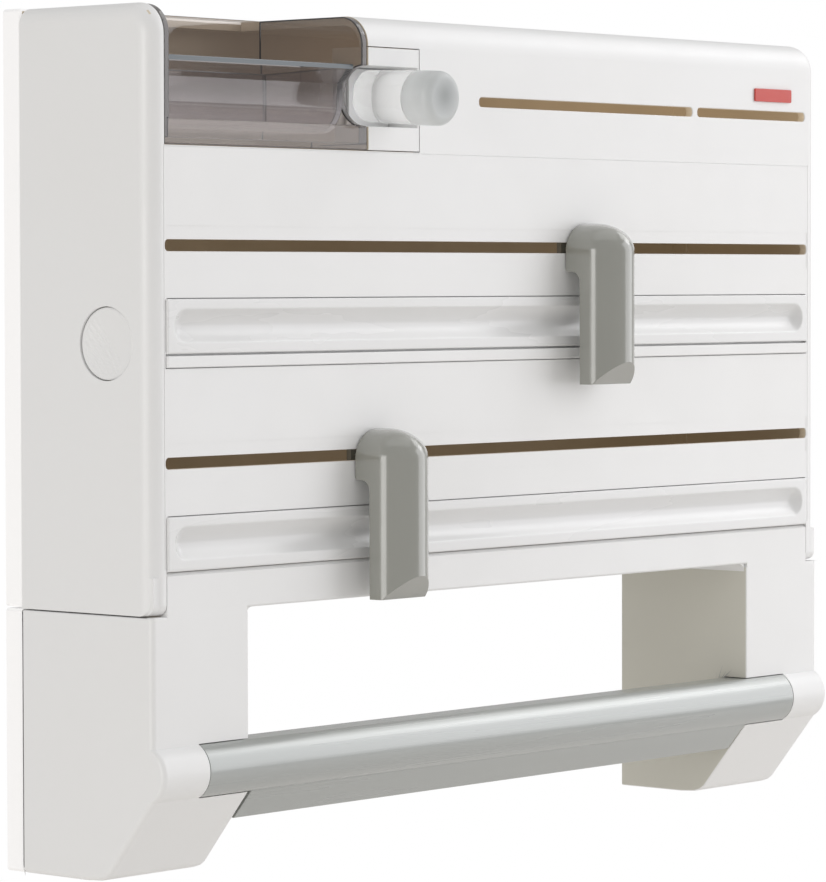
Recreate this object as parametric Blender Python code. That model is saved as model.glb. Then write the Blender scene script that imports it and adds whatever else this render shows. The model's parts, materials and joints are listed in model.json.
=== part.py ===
"""Wall-mounted kitchen roll and film dispenser: a housing for film rolls above a kitchen-roll bar.

Metres, +Z up. The wall is the plane Y = 0 and the front faces -Y. The origin is the centre of the wall face.
"""

import math

import bmesh
import bpy
from mathutils import Matrix, Vector

# Overall size
WIDTH = 0.353
HEIGHT = 0.276
DEPTH = 0.067  # front panel to wall
HOUSING_DEPTH = 0.058  # front panel to the wall frame
GAP = 0.0003
HALF = WIDTH / 2
TOP = HEIGHT / 2
BOTTOM = -HEIGHT / 2
FRONT = -DEPTH
FRAME_FRONT = FRONT + HOUSING_DEPTH

# Front cover
WALL = 0.003
CORNER_R = 0.006
TOP_R = 0.010
SEAM_Z = -0.053  # underside of the cover's ends
PANEL_BOTTOM = -0.0394
PANEL_HALF = 0.170  # where the rounded corners start
HINGE_DEPTH = 0.0035
HINGE_Z = -0.0495
PIN_R = 0.0015

# Film slots and grooved rails: the lower set repeats the upper one
SLOT_HEIGHT = 0.0037
UPPER_SLOT_Z = 0.0625
SET_PITCH = 0.068
TOP_SLOT_Z = 0.1114
TOP_SLOT_HEIGHT = 0.0033
TOP_SLOT_ENDS = (-0.0183, 0.1688)
BRIDGE = (0.1004, 0.1032)
RAIL_HALF = 0.1697
RAIL_HEIGHT = 0.0172
RAIL_DROP = 0.0167  # slot centre to the rail's top edge
LIP_HEIGHT = 0.0040
GROOVE_HEIGHT = 0.0105
GROOVE_DEPTH = 0.0026

# Accessory compartment at the top left
BOX_LEFT = -0.170
BOX_RIGHT = -0.075
BOX_FLOOR = 0.094
BOX_BACK = 0.0475
BOX_WALL = 0.0025
INSERT_RIGHT = -0.0493
INSERT_TOP = 0.1277
WINDOW = (0.1018, 0.1216)
POCKET_DEPTH = 0.013
NOTCH_R = 0.0098  # the round notch beside the knob
KNOB_X = -0.0615
KNOB_R = 0.0088
KNOB_DROOP = math.radians(3)

# Cutters
CUTTER_WIDTH = 0.022
CUTTER_TOP = 0.0082  # above the slot's centre
CUTTER_BOTTOM = 0.0471  # below it
CUTTER_HEAD = 0.0082  # underside of the head, below the slot's centre
CUTTER_STANDOFF = 0.0065
CUTTER_SIDE_DEPTH = 0.0120
CUTTER_CROWN = 0.0195
UPPER_CUTTER_X = 0.0385
LOWER_CUTTER_X = -0.0710

# Release buttons
BUTTON_R = 0.0114
BUTTON_DEPTH = 0.0196
BUTTON_Z = 0.0318
BUTTON_TRAVEL = 0.0025

# Lower bracket and kitchen-roll bar
OPENING_TOP = -0.0523
ARM_CORNER_R = 0.0018
LOWER_FRAME_INNER = 0.144
TIE_BAR_UNDERSIDE = -0.0562
ARM_INNER = 0.1328
BAR_SEAT = 0.1557  # where the bar meets the rounded arm ends
BAR_TOP = -0.0944
BAR_LEDGE = -0.1110
BAR_R = 0.0095
BAR_CENTRE_DEPTH = 0.0046
BAR_TIP_DEPTH = 0.0076
BAR_TIP_Z = -0.1205
CHIN_DEPTH = 0.0200
CHIN_Z = -0.1352

# Film troughs inside the housing
TROUGH_R = 0.0235
TROUGH_WALL = 0.0016
TROUGH_CENTRE_DEPTH = 0.0325
TROUGH_HALF = 0.159
KEYHOLE_Z = 0.0780  # the round entry; the screw sits above it

ARC_STEPS = 10


def clear_scene():
    for old in list(bpy.data.objects):
        bpy.data.objects.remove(old, do_unlink=True)


def at(depth):
    """The Y of a point this far behind the front panel."""
    return FRONT + depth


# ---------------------------------------------------------------- materials


def material(name, colour, roughness, metallic=0.0, transmission=0.0):
    made = bpy.data.materials.new(name)
    made.use_nodes = True
    shader = made.node_tree.nodes["Principled BSDF"]
    shader.inputs["Base Color"].default_value = (*colour, 1)
    shader.inputs["Roughness"].default_value = roughness
    shader.inputs["Metallic"].default_value = metallic
    shader.inputs["Transmission Weight"].default_value = transmission
    made.diffuse_color = (*colour, 1)
    return made


def make_materials():
    return {
        "white": material("white_plastic", (0.83, 0.83, 0.82), 0.35),
        "gloss_white": material("gloss_white_plastic", (0.86, 0.86, 0.85), 0.15),
        "grey": material("grey_plastic", (0.27, 0.27, 0.25), 0.4),
        "silver": material("silver_grey_plastic", (0.42, 0.47, 0.52), 0.35),
        "smoked": material("smoked_plastic", (0.20, 0.16, 0.12), 0.08, 0, 0.7),
        "clear": material("clear_plastic", (0.92, 0.94, 0.94), 0.05, 0, 0.9),
        "frosted": material("frosted_plastic", (0.72, 0.75, 0.74), 0.5, 0, 0.4),
        "steel": material("steel", (0.62, 0.62, 0.62), 0.3, 1.0),
        "badge": material("red_badge", (0.60, 0.04, 0.03), 0.4),
    }


# ---------------------------------------------------------------- mesh tools


def add_object(name, mesh, finish=None, parent=None):
    made = bpy.data.objects.new(name, mesh)
    bpy.context.scene.collection.objects.link(made)
    if finish:
        mesh.materials.append(finish)
    if parent:
        made.parent = parent
        made.matrix_parent_inverse = Matrix.Translation(-parent.location)
    return made


def mesh_of(shape):
    bmesh.ops.recalc_face_normals(shape, faces=shape.faces)
    mesh = bpy.data.meshes.new("shape")
    shape.to_mesh(mesh)
    shape.free()
    return mesh


def prism(outline, axis, start, end):
    """A closed outline swept straight along an axis. Its points are (y, z) for X, (x, z) for Y, (x, y) for Z."""
    place = {
        "X": lambda along, a, b: (along, a, b),
        "Y": lambda along, a, b: (a, along, b),
        "Z": lambda along, a, b: (a, b, along),
    }[axis]
    shape = bmesh.new()
    ends = [[shape.verts.new(place(along, a, b)) for a, b in outline] for along in (start, end)]
    shape.faces.new(ends[0])
    shape.faces.new(ends[1])
    bmesh.ops.bridge_loops(shape, edges=list({e for f in shape.faces for e in f.edges}))
    return mesh_of(shape)


def block(low, high):
    (x0, y0, z0), (x1, y1, z1) = low, high
    return prism([(y0, z0), (y1, z0), (y1, z1), (y0, z1)], "X", x0, x1)


def turned(profile, origin, axis, steps=32):
    """Points (along, radius) turned about an axis through origin. The first and last radius is 0."""
    shape = bmesh.new()
    turn = Vector((0, 0, 1)).rotation_difference(Vector(axis)).to_matrix()
    rings = []
    for along, radius in profile:
        if radius == 0:
            rings.append([shape.verts.new(Vector(origin) + turn @ Vector((0, 0, along)))])
            continue
        ring = []
        for step in range(steps):
            angle = 2 * math.pi * step / steps
            point = Vector((radius * math.cos(angle), radius * math.sin(angle), along))
            ring.append(shape.verts.new(Vector(origin) + turn @ point))
        rings.append(ring)
    for lower, upper in zip(rings, rings[1:]):
        for step in range(steps):
            after = (step + 1) % steps
            corners = [lower[step % len(lower)], lower[after % len(lower)]]
            corners += [upper[after % len(upper)], upper[step % len(upper)]]
            shape.faces.new(list(dict.fromkeys(corners)))
    return mesh_of(shape)


def lofted(rows):
    """Closed rings of equally many points joined in order, with both ends capped."""
    shape = bmesh.new()
    rings = [[shape.verts.new(point) for point in row] for row in rows]
    for lower, upper in zip(rings, rings[1:]):
        for i in range(len(lower)):
            j = (i + 1) % len(lower)
            shape.faces.new([lower[i], lower[j], upper[j], upper[i]])
    shape.faces.new(rings[0])
    shape.faces.new(rings[-1])
    return mesh_of(shape)


def arc(centre, radius, start, end, steps=ARC_STEPS):
    """Points on an arc, with angles in degrees."""
    points = []
    for step in range(steps + 1):
        angle = math.radians(start + (end - start) * step / steps)
        points.append((centre[0] + radius * math.cos(angle), centre[1] + radius * math.sin(angle)))
    return points


def stadium(low_x, high_x, centre_z, height):
    """The outline of a slot with round ends, in (x, z)."""
    r = height / 2
    return arc((high_x - r, centre_z), r, -90, 90, 8) + arc((low_x + r, centre_z), r, 90, 270, 8)


def combine(target, mesh, operation):
    tool = add_object(f"{target.name}_{operation.lower()}_tool", mesh, parent=target.parent)
    tool.hide_render = True
    tool.display_type = "WIRE"
    step = target.modifiers.new(operation.title(), "BOOLEAN")
    step.operation = operation
    step.solver = "EXACT"
    step.object = tool


def cut(target, mesh):
    combine(target, mesh, "DIFFERENCE")


def join(target, mesh):
    combine(target, mesh, "UNION")


def round_edges(target, width, segments=3, angle=50):
    bevel = target.modifiers.new("Bevel", "BEVEL")
    bevel.width = width
    bevel.segments = segments
    bevel.limit_method = "ANGLE"
    bevel.angle_limit = math.radians(angle)


def smooth(target):
    target.data.shade_smooth()
    target.data.set_sharp_from_angle(angle=math.radians(40))


def axis_empty(name, location, parent=None):
    """Marks a joint: its moving pieces are its children."""
    made = bpy.data.objects.new(name, None)
    bpy.context.scene.collection.objects.link(made)
    made.location = location
    if parent:
        made.parent = parent
        made.matrix_parent_inverse = Matrix.Translation(-parent.location)
    return made


# ---------------------------------------------------------------- front cover


def cover_profile(inset):
    """The cover's outline in (y, z), run on past its open back and underside."""
    beyond = 0.02
    bottom = SEAM_Z - beyond if inset else SEAM_Z
    radius = TOP_R - inset
    top = TOP - inset
    heel = HINGE_DEPTH if not inset else 0.0005
    points = [(FRAME_FRONT + beyond, bottom)]
    points += arc((at(inset + heel), bottom + heel), heel, 270, 180, 5)
    points += arc((at(inset + radius), top - radius), radius, 180, 90)
    return points + [(FRAME_FRONT + beyond, top)]


def make_cover(finish, hinge):
    cover = add_object("front_cover", prism(cover_profile(0), "X", -HALF, HALF), finish["white"], hinge)
    round_edges(cover, CORNER_R, 4, 60)
    inner_half = HALF - WALL
    cut(cover, prism(cover_profile(WALL), "X", -inner_half, inner_half))
    cut(cover, block((-0.2, FRAME_FRONT, -0.1), (0.2, 0.1, 0.2)))
    notch = [(FRONT - 0.01, -0.1), (at(WALL + 0.001), -0.1), (at(WALL + 0.001), PANEL_BOTTOM + 0.0018)]
    notch += [(at(0.0018), PANEL_BOTTOM), (FRONT - 0.01, PANEL_BOTTOM)]
    cut(cover, prism(notch, "X", -PANEL_HALF, PANEL_HALF))
    cut_compartment(cover)
    cut_slots(cover)
    for rail_top in (UPPER_SLOT_Z - RAIL_DROP, UPPER_SLOT_Z - SET_PITCH - RAIL_DROP):
        cut_rail_seat(cover, rail_top)
    lip_top = UPPER_SLOT_Z - RAIL_DROP - RAIL_HEIGHT
    seat = GAP + LIP_HEIGHT + GAP
    cut(cover, block((-RAIL_HALF - GAP, FRONT - 0.01, lip_top - seat), (RAIL_HALF + GAP, at(0.0015), lip_top)))
    for side in (-1, 1):
        add_hinge_ear(cover, side)
        add_spring_seat(cover, side)
        hole = turned([(0, 0), (0, BUTTON_R + GAP), (0.03, BUTTON_R + GAP), (0.03, 0)],
                      (side * (HALF - 0.015), at(BUTTON_DEPTH), BUTTON_Z), (side, 0, 0), 40)
        cut(cover, hole)
    smooth(cover)
    return cover


def cut_compartment(cover):
    low = (BOX_LEFT - GAP, FRONT - 0.01, BOX_FLOOR - GAP)
    cut(cover, block(low, (BOX_RIGHT + GAP, 0.02, 0.2)))
    low = (BOX_RIGHT - 0.001, FRONT - 0.01, BOX_FLOOR - GAP)
    cut(cover, block(low, (INSERT_RIGHT + GAP, at(0.006), INSERT_TOP + GAP)))


def cut_slots(cover):
    slots = [(-PANEL_HALF, PANEL_HALF, UPPER_SLOT_Z, SLOT_HEIGHT)]
    slots.append((-PANEL_HALF, PANEL_HALF, UPPER_SLOT_Z - SET_PITCH, SLOT_HEIGHT))
    slots.append((TOP_SLOT_ENDS[0], BRIDGE[0], TOP_SLOT_Z, TOP_SLOT_HEIGHT))
    slots.append((BRIDGE[1], TOP_SLOT_ENDS[1], TOP_SLOT_Z, TOP_SLOT_HEIGHT))
    for low_x, high_x, z, height in slots:
        cut(cover, prism(stadium(low_x, high_x, z, height), "Y", FRONT - 0.01, at(WALL + 0.002)))


def cut_rail_seat(cover, rail_top):
    """A shallow seat for the rail's flange and a window for its grooved body."""
    low_z = rail_top - RAIL_HEIGHT
    low = (-RAIL_HALF - GAP, FRONT - 0.01, low_z - GAP)
    cut(cover, block(low, (RAIL_HALF + GAP, at(0.0015), rail_top + GAP)))
    low = (-RAIL_HALF + 0.0015, FRONT - 0.01, low_z + 0.0012)
    cut(cover, block(low, (RAIL_HALF - 0.0015, at(WALL + 0.002), rail_top - 0.0012)))


def add_hinge_ear(cover, side):
    inner, outer = PANEL_HALF + GAP, HALF - 0.001
    low_x, high_x = sorted((side * inner, side * outer))
    heel = HINGE_DEPTH - GAP
    ear = arc((at(HINGE_DEPTH), HINGE_Z), heel, 180, 270, 5)
    ear += [(at(0.010), SEAM_Z + GAP), (at(0.010), SEAM_Z + 0.012), (at(GAP), SEAM_Z + 0.012)]
    join(cover, prism(ear, "X", low_x, high_x))
    bore = [(0, 0), (0, PIN_R + GAP), (0.0045, PIN_R + GAP), (0.0045, 0)]
    cut(cover, turned(bore, (side * (PANEL_HALF - 0.0005), at(HINGE_DEPTH), HINGE_Z), (side, 0, 0), 20))


def add_spring_seat(cover, side):
    """A bridge inside the side wall, which the button's spring pushes against."""
    plate = (HALF - 0.0170, HALF - 0.0150)
    low_y, high_y = at(BUTTON_DEPTH - 0.006), at(BUTTON_DEPTH + 0.006)
    low_z, high_z = BUTTON_Z - 0.0172, BUTTON_Z + 0.0172
    low_x, high_x = sorted(side * x for x in plate)
    join(cover, block((low_x, low_y, low_z), (high_x, high_y, high_z)))
    low_x, high_x = sorted((side * plate[0], side * (HALF - 0.001)))
    for z in (low_z, high_z - 0.0016):
        join(cover, block((low_x, low_y, z), (high_x, high_y, z + 0.0016)))


def capsule(low_x, high_x, y, z, radius):
    """A cylinder along X with round ends."""
    quarter = [(radius - radius * math.cos(a), radius * math.sin(a)) for a in
               [math.radians(10 * i) for i in range(10)]]
    length = high_x - low_x
    profile = [(along, r) for along, r in quarter]
    profile += [(length - along, r) for along, r in reversed(quarter)]
    return turned(profile, (low_x, y, z), (1, 0, 0), 64)


def make_rail(name, rail_top, finish, parent):
    """A strip with a flange at the front and a finger groove sunk into its body."""
    low_z = rail_top - RAIL_HEIGHT
    proud = 0.0006
    flange = block((-RAIL_HALF, FRONT - proud, low_z), (RAIL_HALF, at(0.0012), rail_top))
    rail = add_object(name, flange, finish["gloss_white"], parent)
    round_edges(rail, 0.0004, 2)
    body_half = RAIL_HALF - 0.0015 - GAP
    body = block((-body_half, at(0.0002), low_z + 0.0015), (body_half, at(0.0046), rail_top - 0.0015))
    join(rail, body)
    half = GROOVE_HEIGHT / 2
    radius = (half**2 + GROOVE_DEPTH**2) / (2 * GROOVE_DEPTH)
    groove_y = FRONT - proud - radius + GROOVE_DEPTH
    groove_half = RAIL_HALF - 0.003 + radius - half
    middle = rail_top - 0.0085
    cut(rail, capsule(-groove_half, groove_half, groove_y, middle, radius))
    smooth(rail)


def make_film_lip(finish, parent):
    top = UPPER_SLOT_Z - RAIL_DROP - RAIL_HEIGHT - 2 * GAP
    low = (-RAIL_HALF, FRONT - 0.0006, top - LIP_HEIGHT + GAP)
    lip = add_object("film_lip_strip", block(low, (RAIL_HALF, at(0.0012), top)), finish["white"], parent)
    round_edges(lip, 0.0004, 2)


def make_badge(finish, parent):
    low = (0.1372, FRONT - 0.0008, 0.1164)
    badge = add_object("blank_badge", block(low, (0.1595, FRONT - GAP, 0.1211)), finish["badge"], parent)
    round_edges(badge, 0.0002, 1)


# ---------------------------------------------------------------- cutters


def handle_row(z, rear, half_width, side_depth, crown):
    """One level of the handle: flat sides, a crowned front and a flat back, in world points about x = 0."""
    front = []
    steps = 14
    for step in range(steps + 1):
        share = 2 * step / steps - 1
        bulge = (crown - side_depth) * (1 - share * share)
        edge = 0.0012 * abs(share) ** 8
        front.append((share * half_width, -(side_depth + bulge - edge), z))
    sides = [(half_width, -(side_depth + rear) * 0.55, z), (half_width, -rear, z)]
    back = [(half_width * (1 - 2 * i / 4), -rear, z) for i in range(1, 4)]
    left = [(-half_width, -rear, z), (-half_width, -(side_depth + rear) * 0.55, z)]
    return front + sides + back + left


def handle_rows():
    rows = []
    low = -CUTTER_BOTTOM
    chamfer_front = 0.0118  # depth left at the bottom edge
    levels = [low + 0.0007 * i for i in range(0, 14)] + [-0.030, -0.020]
    for z in levels:
        row = handle_row(z, CUTTER_STANDOFF, CUTTER_WIDTH / 2, CUTTER_SIDE_DEPTH, CUTTER_CROWN)
        limit = -(chamfer_front + (z - low) * 0.98)
        rows.append([(x, max(y, limit), level) for x, y, level in row])
    fillet = 0.0028
    for step in range(6):
        angle = math.radians(18 * step)
        z = -CUTTER_HEAD - fillet + fillet * math.sin(angle)
        rear = CUTTER_STANDOFF - fillet * (1 - math.cos(angle))
        rows.append(handle_row(z, rear, CUTTER_WIDTH / 2, CUTTER_SIDE_DEPTH, CUTTER_CROWN))
    rows.append(handle_row(-CUTTER_HEAD + 0.0002, GAP, CUTTER_WIDTH / 2, CUTTER_SIDE_DEPTH, CUTTER_CROWN))
    arch_start = -0.0012
    arch = CUTTER_TOP - arch_start
    for step in range(10):
        angle = math.radians(9.5 * step)
        shrink = math.cos(angle)
        side = 0.0045 + (CUTTER_SIDE_DEPTH - 0.0045) * shrink
        crown = 0.0060 + (CUTTER_CROWN - 0.0060) * shrink
        z = arch_start + arch * math.sin(angle)
        rows.append(handle_row(z, GAP, CUTTER_WIDTH / 2 * max(shrink, 0.12), side, crown))
    return rows


def make_cutter(level, x, slot_z, finish, cover_axis):
    """A handle in front of the panel, a runner that holds it in the slot, and a double-pointed blade."""
    slide = axis_empty(f"{level}_cutter_slide", (x, FRONT, slot_z), cover_axis)
    place = Matrix.Translation((x, FRONT, slot_z))
    handle = add_object(f"{level}_cutter_handle", lofted(handle_rows()), finish["grey"], slide)
    handle.data.transform(place)
    runner_half = 0.0065
    socket = block((-runner_half - GAP, -0.0045, -0.0017), (runner_half + GAP, 0.01, 0.0017))
    socket.transform(place)
    cut(handle, socket)
    smooth(handle)

    neck = block((-runner_half, -0.0042, -0.0014), (runner_half, 0.0040, 0.0014))
    neck.transform(place)
    runner = add_object(f"{level}_cutter_runner", neck, finish["grey"], slide)
    foot = block((-0.009, WALL + GAP, -0.0045), (0.009, WALL + 0.0022, 0.0045))
    foot.transform(place)
    join(runner, foot)
    slit = block((-0.02, 0.0008, -0.0030), (0.02, 0.0020, 0.0010))
    slit.transform(place)
    cut(runner, slit)

    points = [(-0.0095, 0.0), (-0.0075, -0.0013), (0.0075, -0.0013), (0.0095, 0.0), (0.0075, 0.0006),
              (-0.0075, 0.0006)]
    blade = prism(points, "Y", 0.0011, 0.0016)
    blade.transform(place)
    add_object(f"{level}_cutter_blade", blade, finish["steel"], slide)


# ---------------------------------------------------------------- release buttons


def make_button(side, finish, cover_axis):
    name = "left" if side < 0 else "right"
    face = HALF - 0.0003
    slide = axis_empty(f"{name}_button_slide", (side * face, at(BUTTON_DEPTH), BUTTON_Z), cover_axis)
    stem_end = 0.0105
    profile = [(0.0006, 0), (0.0005, 0.004), (0.0002, 0.0080), (0, 0.0100), (0.0004, BUTTON_R)]
    profile += [(0.0040, BUTTON_R), (0.0040, 0.0132), (0.0056, 0.0132), (0.0056, 0.0032)]
    profile += [(stem_end, 0.0032), (stem_end, 0)]
    cap = turned(profile, (side * face, at(BUTTON_DEPTH), BUTTON_Z), (-side, 0, 0), 40)
    button = add_object(f"{name}_release_button", cap, finish["white"], slide)
    arm = [side * (face - 0.0056), side * (face - 0.0040)]
    low_x, high_x = min(arm), max(arm)
    half = 0.003
    join(button, block((low_x, at(0.030), BUTTON_Z - half), (high_x, at(0.0600), BUTTON_Z + half)))
    smooth(button)
    make_spring(f"{name}_button_spring", side, face, finish, slide)


def make_spring(name, side, face, finish, parent):
    """The return spring, drawn at the length it has when the button is pressed."""
    turns, coil_r, wire_r = 3, 0.0042, 0.0004
    start, end = 0.0064, 0.0100
    steps = turns * 14
    curve = bpy.data.curves.new(name, "CURVE")
    curve.dimensions = "3D"
    curve.bevel_depth = wire_r
    curve.bevel_resolution = 1
    curve.use_fill_caps = True
    line = curve.splines.new("POLY")
    line.points.add(steps)
    for step, point in enumerate(line.points):
        angle = 2 * math.pi * turns * step / steps
        along = start + (end - start) * step / steps
        y = at(BUTTON_DEPTH) + coil_r * math.cos(angle)
        z = BUTTON_Z + coil_r * math.sin(angle)
        point.co = (side * (face - along), y, z, 1)
    made = bpy.data.objects.new(name, curve)
    bpy.context.scene.collection.objects.link(made)
    curve.materials.append(finish["steel"])
    made.parent = parent
    made.matrix_parent_inverse = Matrix.Translation(-parent.location)


# ---------------------------------------------------------------- accessory compartment


def make_accessory_box(finish):
    """A smoked tub with an open top, a low front lip and tall shaped sides."""
    radius = 0.0095
    front, back, top = at(GAP), at(BOX_BACK), TOP - 0.0002
    outline = [(back, BOX_FLOOR), (front, BOX_FLOOR)]
    outline += arc((front + radius, top - radius), radius, 180, 90)
    outline += [(back, top)]
    box = add_object("accessory_box", prism(outline, "X", BOX_LEFT, BOX_RIGHT), finish["smoked"])
    inner = (BOX_LEFT + BOX_WALL, BOX_RIGHT - BOX_WALL)
    cut(box, block((inner[0], front + 0.002, BOX_FLOOR + 0.002), (inner[1], back - 0.0018, 0.2)))
    cut(box, block((inner[0], front - 0.01, BOX_FLOOR + 0.0080), (inner[1], front + 0.003, 0.2)))
    middle = (WINDOW[0] + WINDOW[1]) / 2
    notch = turned([(0, 0), (0, NOTCH_R), (0.01, NOTCH_R), (0.01, 0)], (BOX_RIGHT - 0.005, front, middle), (1, 0, 0))
    cut(box, notch)
    round_edges(box, 0.0003, 1, 60)
    smooth(box)


def tray_section(wall):
    """The tray's side outline in (y, z): a finger flare at the top and a rounded front foot."""
    top = 0.122 + (0.01 if wall else 0)
    floor = 0.0995 + wall
    section = [(at(0.0432 - wall), floor), (at(0.0432 - wall), top), (at(0.0030 + wall * 1.3), top)]
    section += [(at(0.0030 + wall * 1.3), 0.1204 + wall * 0.3), (at(0.0077 + wall), 0.1157 + wall * 0.4)]
    section += [(at(0.0079 + wall), 0.1100)]
    return section + arc((at(0.0179), 0.1095), 0.0100 - wall, 180, 270, 8)


def make_tray(finish):
    lift = axis_empty("tray_lift", (-0.1225, at(0.025), 0.0995))
    low_x, high_x = BOX_LEFT + BOX_WALL + 0.0006, BOX_RIGHT - BOX_WALL - 0.0010
    tray = add_object("inner_tray", prism(tray_section(0), "X", low_x, high_x), finish["smoked"], lift)
    wall = 0.0016
    cut(tray, prism(tray_section(wall), "X", low_x + wall, high_x - wall))
    smooth(tray)


def make_insert(finish):
    """The white block beside the box, with the pocket that the catch slides in."""
    low = (BOX_RIGHT + GAP, at(0), BOX_FLOOR)
    insert = add_object("catch_pocket", block(low, (INSERT_RIGHT, at(0.0150), INSERT_TOP)), finish["white"])
    low = (BOX_RIGHT - 0.01, FRONT - 0.01, WINDOW[0])
    cut(insert, block(low, (INSERT_RIGHT - 0.0008, at(POCKET_DEPTH), WINDOW[1])))
    round_edges(insert, 0.0003, 1, 60)


def make_catch(finish):
    slide = axis_empty("catch_slide", (KNOB_X, FRONT, (WINDOW[0] + WINDOW[1]) / 2))
    rear = at(0.0119)
    low = (KNOB_X - 0.0095, rear, WINDOW[0] + 0.0004)
    plate = block(low, (KNOB_X + 0.0098, rear + 0.0008, WINDOW[1] - 0.0004))
    add_object("catch_plate", plate, finish["white"], slide)
    axis = Vector((0, -math.cos(KNOB_DROOP), -math.sin(KNOB_DROOP)))
    start = Vector((KNOB_X, rear - GAP - KNOB_R * math.sin(KNOB_DROOP), 0.11235))
    length = 0.0212
    rim = 0.0007
    profile = [(0, 0), (0, KNOB_R - rim), (rim, KNOB_R), (length, KNOB_R), (length, 0)]
    shank = add_object("knob_shank", turned(profile, start, axis, 40), finish["clear"], slide)
    smooth(shank)
    start = start + axis * (length + GAP)
    end_length, end_r, edge = 0.0113, KNOB_R + 0.0002, 0.0026
    profile = [(0, 0), (0, end_r)]
    profile += [(end_length - edge + edge * math.sin(math.radians(a)),
                 end_r - edge * (1 - math.cos(math.radians(a)))) for a in (0, 18, 36, 54, 72, 88)]
    profile += [(end_length - 0.0006, 0.0030), (end_length - 0.0007, 0)]
    smooth(add_object("knob_end", turned(profile, start, axis, 40), finish["frosted"], slide))


# ---------------------------------------------------------------- lower bracket


def bar_front(radius):
    """The bar's round front, from its top edge down to its ledge, in (y, z)."""
    middle = (BAR_TOP + BAR_LEDGE) / 2
    half = (BAR_TOP - BAR_LEDGE) / 2
    angle = math.degrees(math.asin(half / radius))
    return arc((at(BAR_CENTRE_DEPTH), middle), radius, 180 - angle, 180 + angle, 12)


def arm_outline():
    """An arm seen from the side: upright front, slanting chin and flat underside."""
    heel = (at(0.0300), BOTTOM + 0.0002)
    outline = [(at(0), SEAM_Z - GAP), (at(0), BAR_LEDGE), (at(CHIN_DEPTH - 0.0006), CHIN_Z)]
    outline += [(at(CHIN_DEPTH + 0.0012), CHIN_Z - 0.0013), (at(CHIN_DEPTH + 0.0040), CHIN_Z - 0.0022), heel]
    return outline + [(FRAME_FRONT, BOTTOM + 0.0002), (FRAME_FRONT, SEAM_Z - GAP)]


def make_bracket(finish):
    """The two arms and the crosspiece between them, in one moulding."""
    half = PANEL_HALF - GAP
    crosspiece = prism(crosspiece_outline(OPENING_TOP), "X", -half, half)
    bracket = add_object("lower_bracket", crosspiece, finish["white"])
    for side in (-1, 1):
        arm = prism(arm_outline(), "X", *sorted((side * ARM_INNER, side * HALF)))
        join(bracket, rounded_arm(arm, side))
        shoulder = crosspiece_outline(SEAM_Z - 0.006)
        join(bracket, prism(shoulder, "X", *sorted((side * ARM_INNER, side * (PANEL_HALF - GAP)))))
        join(bracket, arm_end(side))
    for side in (-1, 1):
        inner = ARM_INNER + WALL
        outer = HALF - WALL
        low_x, high_x = sorted((side * inner, side * outer))
        hollow = [(at(0.0165), SEAM_Z - WALL), (at(0.0165), BAR_LEDGE - 0.004)]
        hollow += [(at(CHIN_DEPTH + 0.0035), CHIN_Z + 0.0008), (0.01, CHIN_Z + 0.0008), (0.01, SEAM_Z - WALL)]
        cut(bracket, prism(hollow, "X", low_x, high_x))
        low_x, high_x = sorted((side * (ARM_INNER - 0.01), side * BAR_SEAT))
        cut(bracket, prism(seat_outline(), "X", low_x, high_x))
        bore = [(0, 0), (0, PIN_R + GAP), (0.02, PIN_R + GAP), (0.02, 0)]
        cut(bracket, turned(bore, (side * (PANEL_HALF - 0.008), at(HINGE_DEPTH), HINGE_Z), (side, 0, 0), 20))
    smooth(bracket)


def seat_outline():
    """The bar's seat in an arm: open to the front, and round behind like the bar."""
    middle = (BAR_TOP + BAR_LEDGE) / 2
    rear = arc((at(BAR_CENTRE_DEPTH), middle), BAR_R + GAP, -60, 60, 10)
    low_z, high_z = BAR_LEDGE - GAP, BAR_TOP + GAP
    return [(FRONT - 0.02, low_z), (rear[0][0], low_z), *rear, (rear[-1][0], high_z), (FRONT - 0.02, high_z)]


def rounded_arm(mesh, side):
    """Rounds the arm's outer front edge, then adds the round end that carries on the bar's front."""
    shape = bmesh.new()
    shape.from_mesh(mesh)
    outer = side * HALF
    edges = []
    for edge in shape.edges:
        on_outer = all(abs(v.co.x - outer) < 1e-6 for v in edge.verts)
        in_front = all(v.co.y < at(0.0299) for v in edge.verts)
        flat_top = all(abs(v.co.z - (SEAM_Z - GAP)) < 1e-6 for v in edge.verts)
        if on_outer and in_front and not flat_top:
            edges.append(edge)
    bmesh.ops.bevel(shape, geom=edges, offset=ARM_CORNER_R, segments=3, profile=0.5, affect="EDGES")
    return mesh_of(shape)


def arm_end(side):
    """The round white end beside the bar, which tapers into the arm's rounded corner."""
    rear = at(0.006)
    middle = (BAR_TOP + BAR_LEDGE) / 2
    radius = ARM_CORNER_R
    stations = [(BAR_SEAT, 0.0), (HALF - radius, 0.0)]
    for step in range(1, 5):
        angle = math.radians(22 * step)
        stations.append((HALF - radius + radius * math.sin(angle), radius * (1 - math.cos(angle))))
    rows = []
    for x, inset in stations:
        row = [(side * x, y + inset, z) for y, z in bar_front(BAR_R)]
        row += [(side * x, rear + 0.004, BAR_LEDGE), (side * x, rear + 0.004, middle)]
        row += [(side * x, rear + 0.004, BAR_TOP)]
        rows.append(row)
    return lofted(rows)


def crosspiece_outline(underside):
    """The front strip under the cover and the floor behind it, in (y, z)."""
    front_top = PANEL_BOTTOM - GAP
    floor_top = SEAM_Z + 0.0030
    outline = [(at(0), underside), (at(0), front_top - 0.0010), (at(0.0010), front_top)]
    outline += [(at(0.0065), front_top), (at(0.0065), floor_top), (FRAME_FRONT, floor_top)]
    return outline + [(FRAME_FRONT, underside)]


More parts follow.
